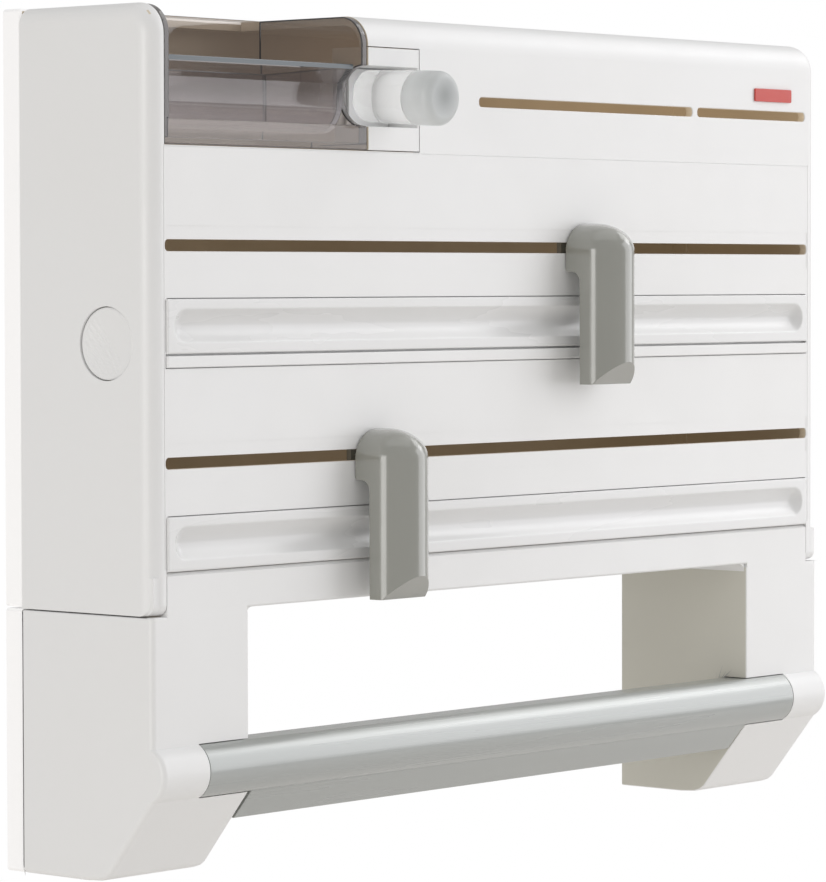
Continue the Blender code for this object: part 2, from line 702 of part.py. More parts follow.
def make_hinge_pins(finish):
    for side, name in ((-1, "left"), (1, "right")):
        profile = [(0, 0), (0, PIN_R), (0.0105, PIN_R), (0.0105, 0)]
        start = (side * (PANEL_HALF - 0.0070), at(HINGE_DEPTH), HINGE_Z)
        smooth(add_object(f"{name}_hinge_pin", turned(profile, start, (side, 0, 0), 20), finish["steel"]))


def bar_outline():
    """The bar between the arms: round front, slanting facet below it and a rounded tail."""
    outline = bar_front(BAR_R) + [(at(BAR_TIP_DEPTH - 0.0004), BAR_TIP_Z + 0.0005)]
    outline += [(at(BAR_TIP_DEPTH + 0.0006), BAR_TIP_Z), (at(BAR_TIP_DEPTH + 0.0022), BAR_TIP_Z + 0.0006)]
    middle = (BAR_TOP + BAR_LEDGE) / 2
    rear = arc((at(BAR_CENTRE_DEPTH), middle), BAR_R, -8, 59, 8)
    return outline + rear


def make_bar(finish):
    lift = axis_empty("bar_pull", (0, at(BAR_CENTRE_DEPTH), (BAR_TOP + BAR_LEDGE) / 2))
    half = ARM_INNER - 0.0010
    bar = add_object("kitchen_roll_bar", prism(bar_outline(), "X", -half, half), finish["silver"], lift)
    middle = (BAR_TOP + BAR_LEDGE) / 2
    end_half = BAR_SEAT - 0.0018
    rear = arc((at(BAR_CENTRE_DEPTH), middle), BAR_R, -61, 61, 10)
    section = bar_front(BAR_R) + rear
    join(bar, prism(section, "X", -end_half, end_half))
    bore = prism(arc((at(BAR_CENTRE_DEPTH), middle), 0.0066, 0, 360 - 18, 19), "X", -0.2, 0.2)
    cut(bar, bore)
    smooth(bar)
    for side, name in ((-1, "left"), (1, "right")):
        face = side * (BAR_SEAT - GAP)
        inner = side * (end_half + GAP)
        plug = add_object(f"{name}_bar_end_plug", prism(section, "X", *sorted((face, inner))),
                          finish["silver"], lift)
        spigot = [(0, 0), (0, 0.0062), (0.0080, 0.0062), (0.0080, 0)]
        join(plug, turned(spigot, (inner + side * 0.0005, at(BAR_CENTRE_DEPTH), middle), (-side, 0, 0), 20))
        smooth(plug)


# ---------------------------------------------------------------- wall frame and troughs


def keyhole(x, z):
    """A round entry with a narrow slot above it, in (x, z)."""
    entry, slot, rise = 0.0045, 0.0024, 0.009
    start = math.degrees(math.acos(slot / entry))
    outline = arc((x, z), entry, 180 - start, 360 + start, 16)
    return outline + arc((x, z + rise), slot, 0, 180, 8)


def make_upper_frame(finish):
    half = HALF - 0.0008
    low_z, high_z = SEAM_Z + GAP, TOP
    plate_front = -0.0025
    body = block((-half, FRAME_FRONT + GAP, low_z), (half, 0, high_z))
    frame = add_object("upper_wall_frame", body, finish["white"])
    round_edges(frame, 0.0008, 1, 60)
    rim = 0.003
    low = (-half + rim, FRAME_FRONT - 0.01, low_z + rim)
    cut(frame, block(low, (half - rim, plate_front, high_z - rim)))
    for x in (-0.12, 0.12):
        cut(frame, prism(keyhole(x, KEYHOLE_Z), "Y", -0.02, 0.02))
    for z in (0.067, -0.004):
        rib = block((-half + 0.001, FRAME_FRONT + GAP, z), (half - 0.001, plate_front + 0.001, z + 0.002))
        join(frame, rib)


def make_lower_frame(finish):
    """Two uprights behind the arms, joined by a bar behind the crosspiece."""
    half = HALF - 0.0008
    top, low = SEAM_Z - GAP, BOTTOM + 0.0002
    inner, tie = LOWER_FRAME_INNER, TIE_BAR_UNDERSIDE
    outline = [(-half, low), (-inner, low), (-inner, tie), (inner, tie), (inner, low), (half, low)]
    outline += [(half, top), (-half, top)]
    frame = add_object("lower_wall_frame", prism(outline, "Y", FRAME_FRONT + GAP, 0), finish["white"])
    round_edges(frame, 0.0008, 1, 60)
    for side in (-1, 1):
        low_x, high_x = sorted((side * (inner + 0.003), side * (half - 0.003)))
        cut(frame, block((low_x, -0.1, low + 0.003), (high_x, -0.0025, -0.0645)))
        hole = turned([(0, 0), (0, 0.0024), (0.05, 0.0024), (0.05, 0)], (side * 0.159, -0.02, -0.100), (0, 1, 0), 20)
        cut(frame, hole)


def make_screw(name, x, z, finish):
    """A pan-head screw, drawn down to the wall face."""
    head, shank = 0.0040, 0.0019
    head_front = -0.0025 - 0.0003 - 0.0026
    profile = [(0, 0), (0, 0.0022), (0.0006, 0.0034), (0.0014, head), (0.0026, head), (0.0026, shank)]
    profile += [(-head_front - GAP, shank), (-head_front - GAP, 0)]
    screw = add_object(name, turned(profile, (x, head_front, z), (0, 1, 0), 20), finish["steel"])
    for size in ((0.0022, 0.0004), (0.0004, 0.0022)):
        low = (x - size[0], head_front - 0.001, z - size[1])
        cut(screw, block(low, (x + size[0], head_front + 0.0012, z + size[1])))
    smooth(screw)


def make_screws(finish):
    make_screw("upper_left_wall_screw", -0.12, KEYHOLE_Z + 0.009, finish)
    make_screw("upper_right_wall_screw", 0.12, KEYHOLE_Z + 0.009, finish)
    make_screw("lower_left_wall_screw", -0.159, -0.100, finish)
    make_screw("lower_right_wall_screw", 0.159, -0.100, finish)


def make_trough(name, low_x, high_x, z, radius, finish):
    """A cradle that a film roll lies in: a curved floor with cheeks and a foot at the back."""
    centre = (at(TROUGH_CENTRE_DEPTH), z)
    outer, inner = radius + TROUGH_WALL, radius
    section = arc(centre, outer, 205, 360, 16)
    foot_y = FRAME_FRONT + 0.0060
    section += [(foot_y, z), (foot_y, z + TROUGH_WALL), (centre[0] + inner, z + TROUGH_WALL)]
    section += arc(centre, inner, 360, 205, 16)
    trough = add_object(name, prism(section, "X", low_x, high_x), finish["white"])
    cheek = arc(centre, outer - 0.0002, 205, 360, 16)
    for start in (low_x, high_x - TROUGH_WALL):
        join(trough, prism(cheek, "X", start, start + TROUGH_WALL))
    smooth(trough)


def make_troughs(finish):
    make_trough("upper_film_trough", -TROUGH_HALF, TROUGH_HALF, 0.0335, TROUGH_R, finish)
    make_trough("lower_film_trough", -TROUGH_HALF, TROUGH_HALF, -0.0245, TROUGH_R - 0.001, finish)
    make_trough("bag_roll_trough", -0.044, TROUGH_HALF, 0.0960, TROUGH_R - 0.003, finish)


# ---------------------------------------------------------------- assembly


def main():
    clear_scene()
    finish = make_materials()
    hinge = axis_empty("cover_hinge", (0, at(HINGE_DEPTH), HINGE_Z))
    make_cover(finish, hinge)
    make_rail("upper_film_rail", UPPER_SLOT_Z - RAIL_DROP, finish, hinge)
    make_rail("lower_film_rail", UPPER_SLOT_Z - SET_PITCH - RAIL_DROP, finish, hinge)
    make_film_lip(finish, hinge)
    make_badge(finish, hinge)
    make_cutter("upper", UPPER_CUTTER_X, UPPER_SLOT_Z, finish, hinge)
    make_cutter("lower", LOWER_CUTTER_X, UPPER_SLOT_Z - SET_PITCH, finish, hinge)
    for side in (-1, 1):
        make_button(side, finish, hinge)
    make_accessory_box(finish)
    make_tray(finish)
    make_insert(finish)
    make_catch(finish)
    make_bracket(finish)
    make_hinge_pins(finish)
    make_bar(finish)
    make_upper_frame(finish)
    make_lower_frame(finish)
    make_screws(finish)
    make_troughs(finish)


main()
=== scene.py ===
import math

import bmesh
import bpy
from mathutils import Matrix, Vector
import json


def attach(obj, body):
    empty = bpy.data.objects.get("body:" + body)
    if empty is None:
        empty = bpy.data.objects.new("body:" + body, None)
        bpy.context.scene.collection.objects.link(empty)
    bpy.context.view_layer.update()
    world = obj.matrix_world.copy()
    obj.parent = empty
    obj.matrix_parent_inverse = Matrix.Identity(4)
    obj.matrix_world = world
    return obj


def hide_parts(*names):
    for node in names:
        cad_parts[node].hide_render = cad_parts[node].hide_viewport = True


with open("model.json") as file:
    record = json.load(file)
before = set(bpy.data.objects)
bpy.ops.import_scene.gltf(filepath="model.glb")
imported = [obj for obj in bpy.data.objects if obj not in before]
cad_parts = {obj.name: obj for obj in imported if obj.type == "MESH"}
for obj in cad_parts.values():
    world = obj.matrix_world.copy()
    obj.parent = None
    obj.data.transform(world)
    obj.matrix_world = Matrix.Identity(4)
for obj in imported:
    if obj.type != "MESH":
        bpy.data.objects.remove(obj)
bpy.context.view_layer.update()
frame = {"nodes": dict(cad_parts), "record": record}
NODES = frame["nodes"]

# ---------------------------------------------------------------- dimensions (metres; the wall is Y = 0)
HALF = 0.1765
TOP = 0.138
BOTTOM = -0.138
FRONT = -0.067
FRAME_FRONT = -0.009
WALL = 0.003
TOP_R = 0.010
CORNER_R = 0.0055
SEAM_Z = -0.053
PANEL_BOTTOM = -0.0394
PANEL_HALF = 0.170
GAP = 0.0003
BEYOND = FRONT - 0.01  # where a cutter starts, clear of the front
FILM_SLOTS_Z = (0.0625, -0.0055)
FILM_SLOT_HEIGHT = 0.0037
BAG_SLOT_Z = 0.1114
BAG_SLOT_HEIGHT = 0.0033
SLOTS = [(-0.170, 0.170, z, FILM_SLOT_HEIGHT) for z in FILM_SLOTS_Z]
SLOTS += [(-0.0183, 0.1004, BAG_SLOT_Z, BAG_SLOT_HEIGHT), (0.1032, 0.1688, BAG_SLOT_Z, BAG_SLOT_HEIGHT)]
SLOT_R = 0.0014
HINGE_DEPTH = 0.0035
HINGE_Z = -0.0495
HINGE_BORE_R = 0.0018
RAIL_HALF = 0.1697
RAIL_TOPS = (0.0458, -0.0222)
RAIL_HEIGHT = 0.0172
LIP_HEIGHT = 0.0040
BOX = (-0.170, -0.075)
BOX_FLOOR = 0.094
BOX_BACK = 0.0475
INSERT_RIGHT = -0.0493
INSERT_TOP = 0.1277
WINDOW = (0.1018, 0.1216)
TRAY_LIP_Z = 0.1205
KNOB_X = -0.0615
KNOB_Z = 0.1117
KNOB_R = 0.0088
CUTTERS = {"upper_cutter": (0.0385, FILM_SLOTS_Z[0]), "lower_cutter": (-0.0710, FILM_SLOTS_Z[1])}
BUTTON_DEPTH = 0.0196
BUTTON_Z = 0.0318
BUTTON_R = 0.0114
BUTTON_FACE = HALF - 0.0003
ARM_INNER = 0.1328
BAR_SEAT = 0.1557
BAR_TOP = -0.0944
BAR_LEDGE = -0.1110
BAR_R = 0.0095
BAR_MID = (BAR_TOP + BAR_LEDGE) / 2
BAR_DEPTH = 0.0046
ARM_CORNER_R = 0.0018
CHIN_DEPTH = 0.0200
CHIN_Z = -0.1352
OPENING_TOP = -0.0523


def at(depth):
    """The Y of a point this deep behind the front."""
    return FRONT + depth


# ---------------------------------------------------------------- materials


class Shader:
    """A Principled material with helpers for procedural variation."""

    def __init__(self, name, colour, roughness, **sockets):
        self.material = bpy.data.materials.new(name)
        self.material.use_nodes = True
        self.tree = self.material.node_tree
        self.main = self.tree.nodes["Principled BSDF"]
        self.main.inputs["Base Color"].default_value = (*colour, 1)
        self.main.inputs["Roughness"].default_value = roughness
        for key, value in sockets.items():
            self.main.inputs[key.replace("_", " ")].default_value = value
        self.colour = colour
        self.roughness = roughness
        self.place = self.tree.nodes.new("ShaderNodeTexCoord").outputs["Object"]
        self.relief = None

    def noise(self, scale, detail, stretch):
        mapping = self.tree.nodes.new("ShaderNodeMapping")
        mapping.inputs["Scale"].default_value = stretch
        self.tree.links.new(self.place, mapping.inputs["Vector"])
        noise = self.tree.nodes.new("ShaderNodeTexNoise")
        noise.inputs["Scale"].default_value = scale
        noise.inputs["Detail"].default_value = detail
        self.tree.links.new(mapping.outputs["Vector"], noise.inputs["Vector"])
        return noise.outputs["Fac"]

    def remap(self, source, low, high, start=0.3, stop=0.7):
        node = self.tree.nodes.new("ShaderNodeMapRange")
        node.inputs["From Min"].default_value = start
        node.inputs["From Max"].default_value = stop
        node.inputs["To Min"].default_value = low
        node.inputs["To Max"].default_value = high
        self.tree.links.new(source, node.inputs["Value"])
        return node.outputs["Result"]

    def vary_roughness(self, scale, spread, stretch=(1, 1, 1)):
        noise = self.noise(scale, 4.0, stretch)
        low, high = self.roughness - spread, self.roughness + spread
        self.tree.links.new(self.remap(noise, max(low, 0.0), high), self.main.inputs["Roughness"])
        return self

    def vary_colour(self, scale, other, start=0.35, stop=0.75, stretch=(1, 1, 1)):
        self.blend(self.remap(self.noise(scale, 4.0, stretch), 0, 1, start, stop), other)
        return self

    def blend(self, share, other):
        """Mixes the base colour with another one, by a share from 0 to 1."""
        mix = self.tree.nodes.new("ShaderNodeMix")
        mix.data_type = "RGBA"
        mix.inputs[6].default_value = (*self.colour, 1)
        mix.inputs[7].default_value = (*other, 1)
        self.tree.links.new(share, mix.inputs[0])
        self.tree.links.new(mix.outputs[2], self.main.inputs["Base Color"])

    def fade_from(self, centre, near, far, other):
        """Blends towards another colour with distance from a point."""
        apart = self.tree.nodes.new("ShaderNodeVectorMath")
        apart.operation = "DISTANCE"
        apart.inputs[1].default_value = centre
        self.tree.links.new(self.place, apart.inputs[0])
        self.blend(self.remap(apart.outputs["Value"], 0, 1, near, far), other)

    def glow(self, low, high, z_span, x_span=None):
        """Painted light: a faint emission that grows from low to high along a span of Z, and along one of X
        if given.
        """
        split = self.tree.nodes.new("ShaderNodeSeparateXYZ")
        self.tree.links.new(self.place, split.inputs["Vector"])
        share = self.remap(split.outputs["Z"], 0, 1, *z_span)
        if x_span:
            both = self.tree.nodes.new("ShaderNodeMath")
            both.operation = "MULTIPLY"
            self.tree.links.new(self.remap(split.outputs["X"], 0, 1, *x_span), both.inputs[0])
            self.tree.links.new(share, both.inputs[1])
            share = both.outputs["Value"]
        self.tree.links.new(self.remap(share, low, high, 0, 1), self.main.inputs["Emission Strength"])

    def bump(self, scale, depth, stretch=(1, 1, 1)):
        """Adds relief on top of the relief that is already there."""
        node = self.tree.nodes.new("ShaderNodeBump")
        node.inputs["Strength"].default_value = 1.0
        node.inputs["Distance"].default_value = depth
        self.tree.links.new(self.noise(scale, 2.0, stretch), node.inputs["Height"])
        if self.relief:
            self.tree.links.new(self.relief, node.inputs["Normal"])
        self.relief = node.outputs["Normal"]
        self.tree.links.new(self.relief, self.main.inputs["Normal"])
        return self


def white_plastic():
    """Satin moulded plastic: a fine grain, slight flow marks and faint yellowing."""
    made = Shader("white_plastic", (0.83, 0.83, 0.83), 0.38, IOR=1.5, Coat_Weight=0.05, Coat_Roughness=0.3)
    made.vary_roughness(60, 0.05).vary_colour(9, (0.82, 0.817, 0.81)).bump(1800, 0.00001).bump(14, 0.00006)
    return made.material


def gloss_white_plastic():
    """The film rails' glossier white, with faint marks along their length."""
    made = Shader("gloss_white_plastic", (0.775, 0.775, 0.775), 0.27, IOR=1.5, Coat_Weight=0.1,
                  Coat_Roughness=0.15)
    along = (0.2, 1, 1)
    made.vary_roughness(40, 0.04, along).vary_colour(12, (0.76, 0.76, 0.755)).bump(30, 0.000008, along)
    return made.material


def inner_painted_shade_plastic():
    """The same plastic inside the housing, never polished; its warm brown is painted shade, and a painted
    glow grows towards the upper right.
    """
    made = Shader("inner_plastic_painted_shade_glow", (0.70, 0.62, 0.50), 0.5, IOR=1.5,
                  Emission_Color=(1.0, 0.79, 0.53, 1))
    # Painted light: emission that grows towards the upper right of the inside.
    made.glow(0.036, 0.125, z_span=(0.075, 0.110), x_span=(-0.05, 0.10))
    made.vary_roughness(50, 0.06).vary_colour(25, (0.60, 0.52, 0.41)).bump(900, 0.00002)
    return made.material


def recess_painted_shade_plastic():
    """The white plastic inside the roll recess, made darker and warmer as painted shade."""
    made = Shader("recess_plastic_painted_shade", (0.645, 0.63, 0.56), 0.42, IOR=1.5)
    made.vary_roughness(50, 0.05).vary_colour(9, (0.63, 0.615, 0.545)).bump(1800, 0.00001)
    return made.material


def frame_painted_glow_plastic():
    """The wall frame's glossier white, brightened above the other whites and given a faint glow as painted
    light.
    """
    made = Shader("frame_plastic_painted_glow", (0.97, 0.965, 0.965), 0.25, IOR=1.5, Coat_Weight=0.6,
                  Coat_Roughness=0.1, Emission_Color=(1, 1, 1, 1), Emission_Strength=0.12)
    made.vary_roughness(50, 0.05).vary_colour(9, (0.96, 0.95, 0.955)).bump(1800, 0.00001)
    return made.material


def grey_plastic():
    """The cutter handles' polished warm grey."""
    made = Shader("grey_plastic", (0.298, 0.30, 0.272), 0.22, IOR=1.5, Coat_Weight=1.0, Coat_Roughness=0.13)
    made.vary_roughness(70, 0.04).vary_colour(30, (0.29, 0.292, 0.265)).bump(1500, 0.000006)
    return made.material


def silver_plastic():
    """Grey film-wrapped bar: fine drawing lines along its length."""
    made = Shader("silver_grey_plastic", (0.395, 0.41, 0.405), 0.30, Metallic=0.25, IOR=1.5, Coat_Weight=0.6,
                  Coat_Roughness=0.22)
    made.vary_roughness(120, 0.05, (0.03, 1, 1)).vary_colour(40, (0.36, 0.375, 0.36), 0.3, 0.8, (0.05, 1, 1))
    made.bump(300, 0.000002, (0.02, 1, 1))
    return made.material


def smoked_plastic():
    """The box's brown-tinted clear plastic, with a faint painted glow that lightens it."""
    made = Shader("smoked_plastic", (0.58, 0.53, 0.485), 0.02, Transmission_Weight=1.0, IOR=1.49,
                  Emission_Color=(1.0, 0.96, 0.98, 1), Emission_Strength=0.024)
    made.vary_roughness(30, 0.01).bump(16, 0.00001)
    return made.material


def tray_plastic():
    """The tray's greyer clear plastic, with a painted glow that grows towards its floor."""
    made = Shader("smoked_tray_plastic_painted_glow", (0.63, 0.605, 0.61), 0.03, Transmission_Weight=1.0, IOR=1.42,
                  Emission_Color=(1.0, 0.95, 0.97, 1))
    made.glow(0.012, 0.062, z_span=(0.1140, 0.1040))
    made.vary_roughness(30, 0.01).bump(14, 0.000006)
    return made.material


def edge_painted_shade_plastic():
    """Painted shade: the dark line along an edge of the smoked plastic."""
    made = Shader("smoked_edge_painted_shade", (0.060, 0.056, 0.055), 0.12, IOR=1.49)
    made.vary_roughness(40, 0.04).bump(60, 0.000005)
    return made.material


def lip_painted_shade_plastic():
    """Painted shade: an opaque blue-grey on the front of the clear tray's lip."""
    made = Shader("smoked_lip_painted_shade", (0.125, 0.145, 0.160), 0.14, IOR=1.49)
    made.vary_roughness(40, 0.04).bump(60, 0.000005)
    return made.material


def clear_plastic():
    """The knob's colourless shank, with a faint painted glow that lightens it."""
    made = Shader("clear_plastic", (0.98, 0.985, 0.985), 0.02, Transmission_Weight=0.80, IOR=1.49,
                  Emission_Color=(1, 1, 1, 1), Emission_Strength=0.05)
    made.vary_roughness(60, 0.012).bump(40, 0.00002)
    return made.material


def frosted_plastic():
    """The knob's milky end, with painted shade darkening its middle."""
    made = Shader("frosted_plastic", (0.29, 0.31, 0.31), 0.32, Transmission_Weight=0.35, IOR=1.49)
    made.vary_roughness(90, 0.05).bump(900, 0.00002)
    # Painted shade: the colour darkens towards the middle of the end.
    made.fade_from((KNOB_X, FRONT - 0.020, KNOB_Z), 0.0010, 0.0105, (0.90, 0.92, 0.92))
    return made.material


def steel():
    """Plain steel with a fine brushed grain."""
    made = Shader("steel", (0.62, 0.62, 0.61), 0.28, Metallic=1.0)
    made.vary_roughness(300, 0.08, (1, 1, 0.1)).bump(900, 0.00001, (1, 1, 0.1))
    return made.material


def badge_red():
    """The plain badge's satin red."""
    made = Shader("red_badge", (0.55, 0.035, 0.02), 0.35, IOR=1.5)
    made.vary_roughness(200, 0.05).bump(1200, 0.00001)
    return made.material


MATERIALS = {
    "white_plastic": white_plastic(),
    "gloss_white_plastic": gloss_white_plastic(),
    "grey_plastic": grey_plastic(),
    "silver_grey_plastic": silver_plastic(),
    "smoked_plastic": smoked_plastic(),
    "clear_plastic": clear_plastic(),
    "frosted_plastic": frosted_plastic(),
    "steel": steel(),
    "red_badge": badge_red(),
}
INNER_PAINTED_SHADE = inner_painted_shade_plastic()
RECESS_PAINTED_SHADE = recess_painted_shade_plastic()
FRAME_PAINTED_GLOW = frame_painted_glow_plastic()
TRAY = tray_plastic()
SMOKED_EDGE_PAINTED_SHADE = edge_painted_shade_plastic()
TRAY_LIP_PAINTED_SHADE = lip_painted_shade_plastic()
PAINTED_SHADE_TROUGHS = ("upper_film_trough", "lower_film_trough", "bag_roll_trough")

# ---------------------------------------------------------------- mesh tools


def mesh_of(shape):
    """Turns a shape under construction into a mesh whose faces look outwards."""
    bmesh.ops.recalc_face_normals(shape, faces=shape.faces)
    mesh = bpy.data.meshes.new("shape")
    shape.to_mesh(mesh)
    shape.free()
    return mesh


def prism(outline, axis, start, end):
    """A closed outline swept along an axis: (y, z) for X, (x, z) for Y."""
    place = {"X": lambda along, a, b: (along, a, b), "Y": lambda along, a, b: (a, along, b)}[axis]
    shape = bmesh.new()
    ends = [[shape.verts.new(place(along, a, b)) for a, b in outline] for along in (start, end)]
    shape.faces.new(ends[0])
    shape.faces.new(ends[1])
    bmesh.ops.bridge_loops(shape, edges=list({e for f in shape.faces for e in f.edges}))
    return mesh_of(shape)


def block(low, high):
    """A box between two opposite corners."""
    (x0, y0, z0), (x1, y1, z1) = low, high
    return prism([(y0, z0), (y1, z0), (y1, z1), (y0, z1)], "X", x0, x1)


def lofted(rows):
    """A closed skin over rings of points, capped at both ends."""
    shape = bmesh.new()
    rings = [[shape.verts.new(point) for point in row] for row in rows]
    for lower, upper in zip(rings, rings[1:]):
        for i in range(len(lower)):
            j = (i + 1) % len(lower)
            shape.faces.new([lower[i], lower[j], upper[j], upper[i]])
    shape.faces.new(rings[0])
    shape.faces.new(rings[-1])
    return mesh_of(shape)


def turned(profile, origin, axis, steps):
    """Points (along, radius) turned about an axis through origin; the ends may have radius 0."""
    shape = bmesh.new()
    turn = Vector((0, 0, 1)).rotation_difference(Vector(axis)).to_matrix()
    rings = []
    for along, radius in profile:
        count = 1 if radius == 0 else steps
        ring = []
        for step in range(count):
            angle = 2 * math.pi * step / steps
            point = Vector((radius * math.cos(angle), radius * math.sin(angle), along))
            ring.append(shape.verts.new(Vector(origin) + turn @ point))
        rings.append(ring)
    for lower, upper in zip(rings, rings[1:]):
        for step in range(steps):
            after = (step + 1) % steps
            corners = [lower[step % len(lower)], lower[after % len(lower)]]
            corners += [upper[after % len(upper)], upper[step % len(upper)]]
            shape.faces.new(list(dict.fromkeys(corners)))
    return mesh_of(shape)


def rod(length, radius):
    """A plain cylinder's profile."""
    return [(0, 0), (0, radius), (length, radius), (length, 0)]


def arc(centre, radius, start, end, steps):
    """Points along an arc, from one angle in degrees to another."""
    points = []
    for step in range(steps + 1):
        angle = math.radians(start + (end - start) * step / steps)
        points.append((centre[0] + radius * math.cos(angle), centre[1] + radius * math.sin(angle)))
    return points


def stadium(low_x, high_x, centre_z, height, radius):
    """A slot's outline in (x, z), with corners of the given radius."""
    r = min(radius, height / 2)
    low_z, high_z = centre_z - height / 2, centre_z + height / 2
    points = arc((high_x - r, low_z + r), r, -90, 0, 8) + arc((high_x - r, high_z - r), r, 0, 90, 8)
    return points + arc((low_x + r, high_z - r), r, 90, 180, 8) + arc((low_x + r, low_z + r), r, 180, 270, 8)


def add_object(name, mesh):
    made = bpy.data.objects.new(name, mesh)
    bpy.context.scene.collection.objects.link(made)
    return made


def combine(target, mesh, operation):
    """Cuts with or joins a mesh, and applies it at once."""
    tool = add_object("tool", mesh)
    step = target.modifiers.new("Boolean", "BOOLEAN")
    step.operation = operation
    step.solver = "EXACT"
    step.object = tool
    apply_modifiers(target)
    bpy.data.objects.remove(tool)


def apply_modifiers(target):
    bpy.context.view_layer.update()
    graph = bpy.context.evaluated_depsgraph_get()
    mesh = bpy.data.meshes.new_from_object(target.evaluated_get(graph))
    target.modifiers.clear()
    target.data = mesh


def cut(target, mesh):
    combine(target, mesh, "DIFFERENCE")


def join(target, mesh):
    combine(target, mesh, "UNION")


def bevel(target, width, segments, angle):
    """Rounds every edge that is sharper than an angle in degrees."""
    step = target.modifiers.new("Bevel", "BEVEL")
    step.width = width
    step.segments = segments
    step.limit_method = "ANGLE"
    step.angle_limit = math.radians(angle)
    step.use_clamp_overlap = False
    apply_modifiers(target)


def softened(mesh, width):
    """A mesh with its edges rounded, ready to be joined to another."""
    piece = add_object("softened", mesh)
    bevel(piece, width, 3, 50)
    mesh = piece.data
    bpy.data.objects.remove(piece)
    return mesh


def broad_and_flat(mesh, face):
    """True for a large compact face, shaded flat so that its edges' rounding doesn't bleed into it."""
    if face.area < 2e-5:
        return False
    corners = [mesh.vertices[i].co for i in face.vertices]
    around = sum((corners[i] - corners[i - 1]).length for i in range(len(corners)))
    return around * around / face.area < 300


def finish_piece(target, slot, body, replaced=(), material=None, angle=35, also_flat=None):
    """Gives a piece its material, smooth shading, its body and the nodes it stands for."""
    target.data.materials.clear()
    target.data.materials.append(material or MATERIALS[slot])
    for face in target.data.polygons:
        flat = broad_and_flat(target.data, face) or bool(also_flat and also_flat(face))
        face.use_smooth = not flat
    target.data.set_sharp_from_angle(angle=math.radians(angle))
    step = target.modifiers.new("Normals", "WEIGHTED_NORMAL")
    step.keep_sharp = True
    step.weight = 92
    apply_modifiers(target)
    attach(target, body)
    if replaced:
        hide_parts(*replaced)
    return target


def offset_outline(points, moves):
    """Moves each edge of a closed outline inwards by its own distance and meets them again."""
    count = len(points)
    area = sum(points[i][0] * points[(i + 1) % count][1] - points[(i + 1) % count][0] * points[i][1]
               for i in range(count))
    turn = 1 if area > 0 else -1
    lines = []
    for i in range(count):
        start, stop = Vector(points[i]), Vector(points[(i + 1) % count])
        along = (stop - start).normalized()
        inward = Vector((-along.y, along.x)) * turn
        lines.append((start + inward * moves[i], along, inward))
    out = []
    for i in range(count):
        (p, u, n), (q, v, _) = lines[i - 1], lines[i]
        cross = u.x * v.y - u.y * v.x
        if abs(cross) < 1e-4:
            shift = (moves[i - 1] + moves[i]) / 2
            out.append(tuple(Vector(points[i]) + n * shift))
            continue
        gap = q - p
        share = (gap.x * v.y - gap.y * v.x) / cross
        out.append(tuple(p + u * share))
    return out


def rounded_prism(outline, rounded, x_inner, x_outer, radius, steps):
    """Sweeps an outline along X and rounds the outer end's edges where rounded(edge middle) is true."""
    side = 1 if x_outer > x_inner else -1
    count = len(outline)
    flags = []
    for i in range(count):
        a, b = outline[i], outline[(i + 1) % count]
        flags.append(1.0 if rounded(((a[0] + b[0]) / 2, (a[1] + b[1]) / 2)) else 0.0)
    stations = [(x_inner, 0.0)]
    for step in range(steps + 1):
        angle = math.pi / 2 * step / steps
        inset = radius * (1 - math.cos(angle))
        stations.append((x_outer - side * radius * (1 - math.sin(angle)), inset))
    rows = []
    for x, inset in stations:
        moved = offset_outline(outline, [flag * inset for flag in flags])
        rows.append([(x, y, z) for y, z in moved])
    return lofted(rows)


# ---------------------------------------------------------------- front cover


def cover_outline(inset=0.0, wall=0.0):
    """The cover from the side: inset rounds its ends, and wall gives its inner outline."""
    bottom = SEAM_Z - 0.02 if wall else SEAM_Z
    heel = 0.0005 if wall else 0.0035 * (1 - 0.9 * inset / CORNER_R)
    radius = TOP_R - inset - wall
    shift = inset + wall
    back = FRAME_FRONT + (0.02 if wall else 0.0)
    points = [(back, bottom)]
    points += arc((at(shift + heel), bottom + heel), heel, 270, 180, 8)
    points += arc((at(shift + radius), TOP - shift - radius), radius, 180, 90, 16)
    return points + [(back, TOP - shift)]


def cover_solid():
    """The whole cover before it is hollowed, with both ends rounded."""
    stations = []
    for step in range(13):
        angle = math.pi / 2 * step / 12
        stations.append((HALF - CORNER_R * (1 - math.sin(angle)), CORNER_R * (1 - math.cos(angle))))
    stations = [(-x, inset) for x, inset in reversed(stations)] + stations
    return lofted([[(x, y, z) for y, z in cover_outline(inset)] for x, inset in stations])


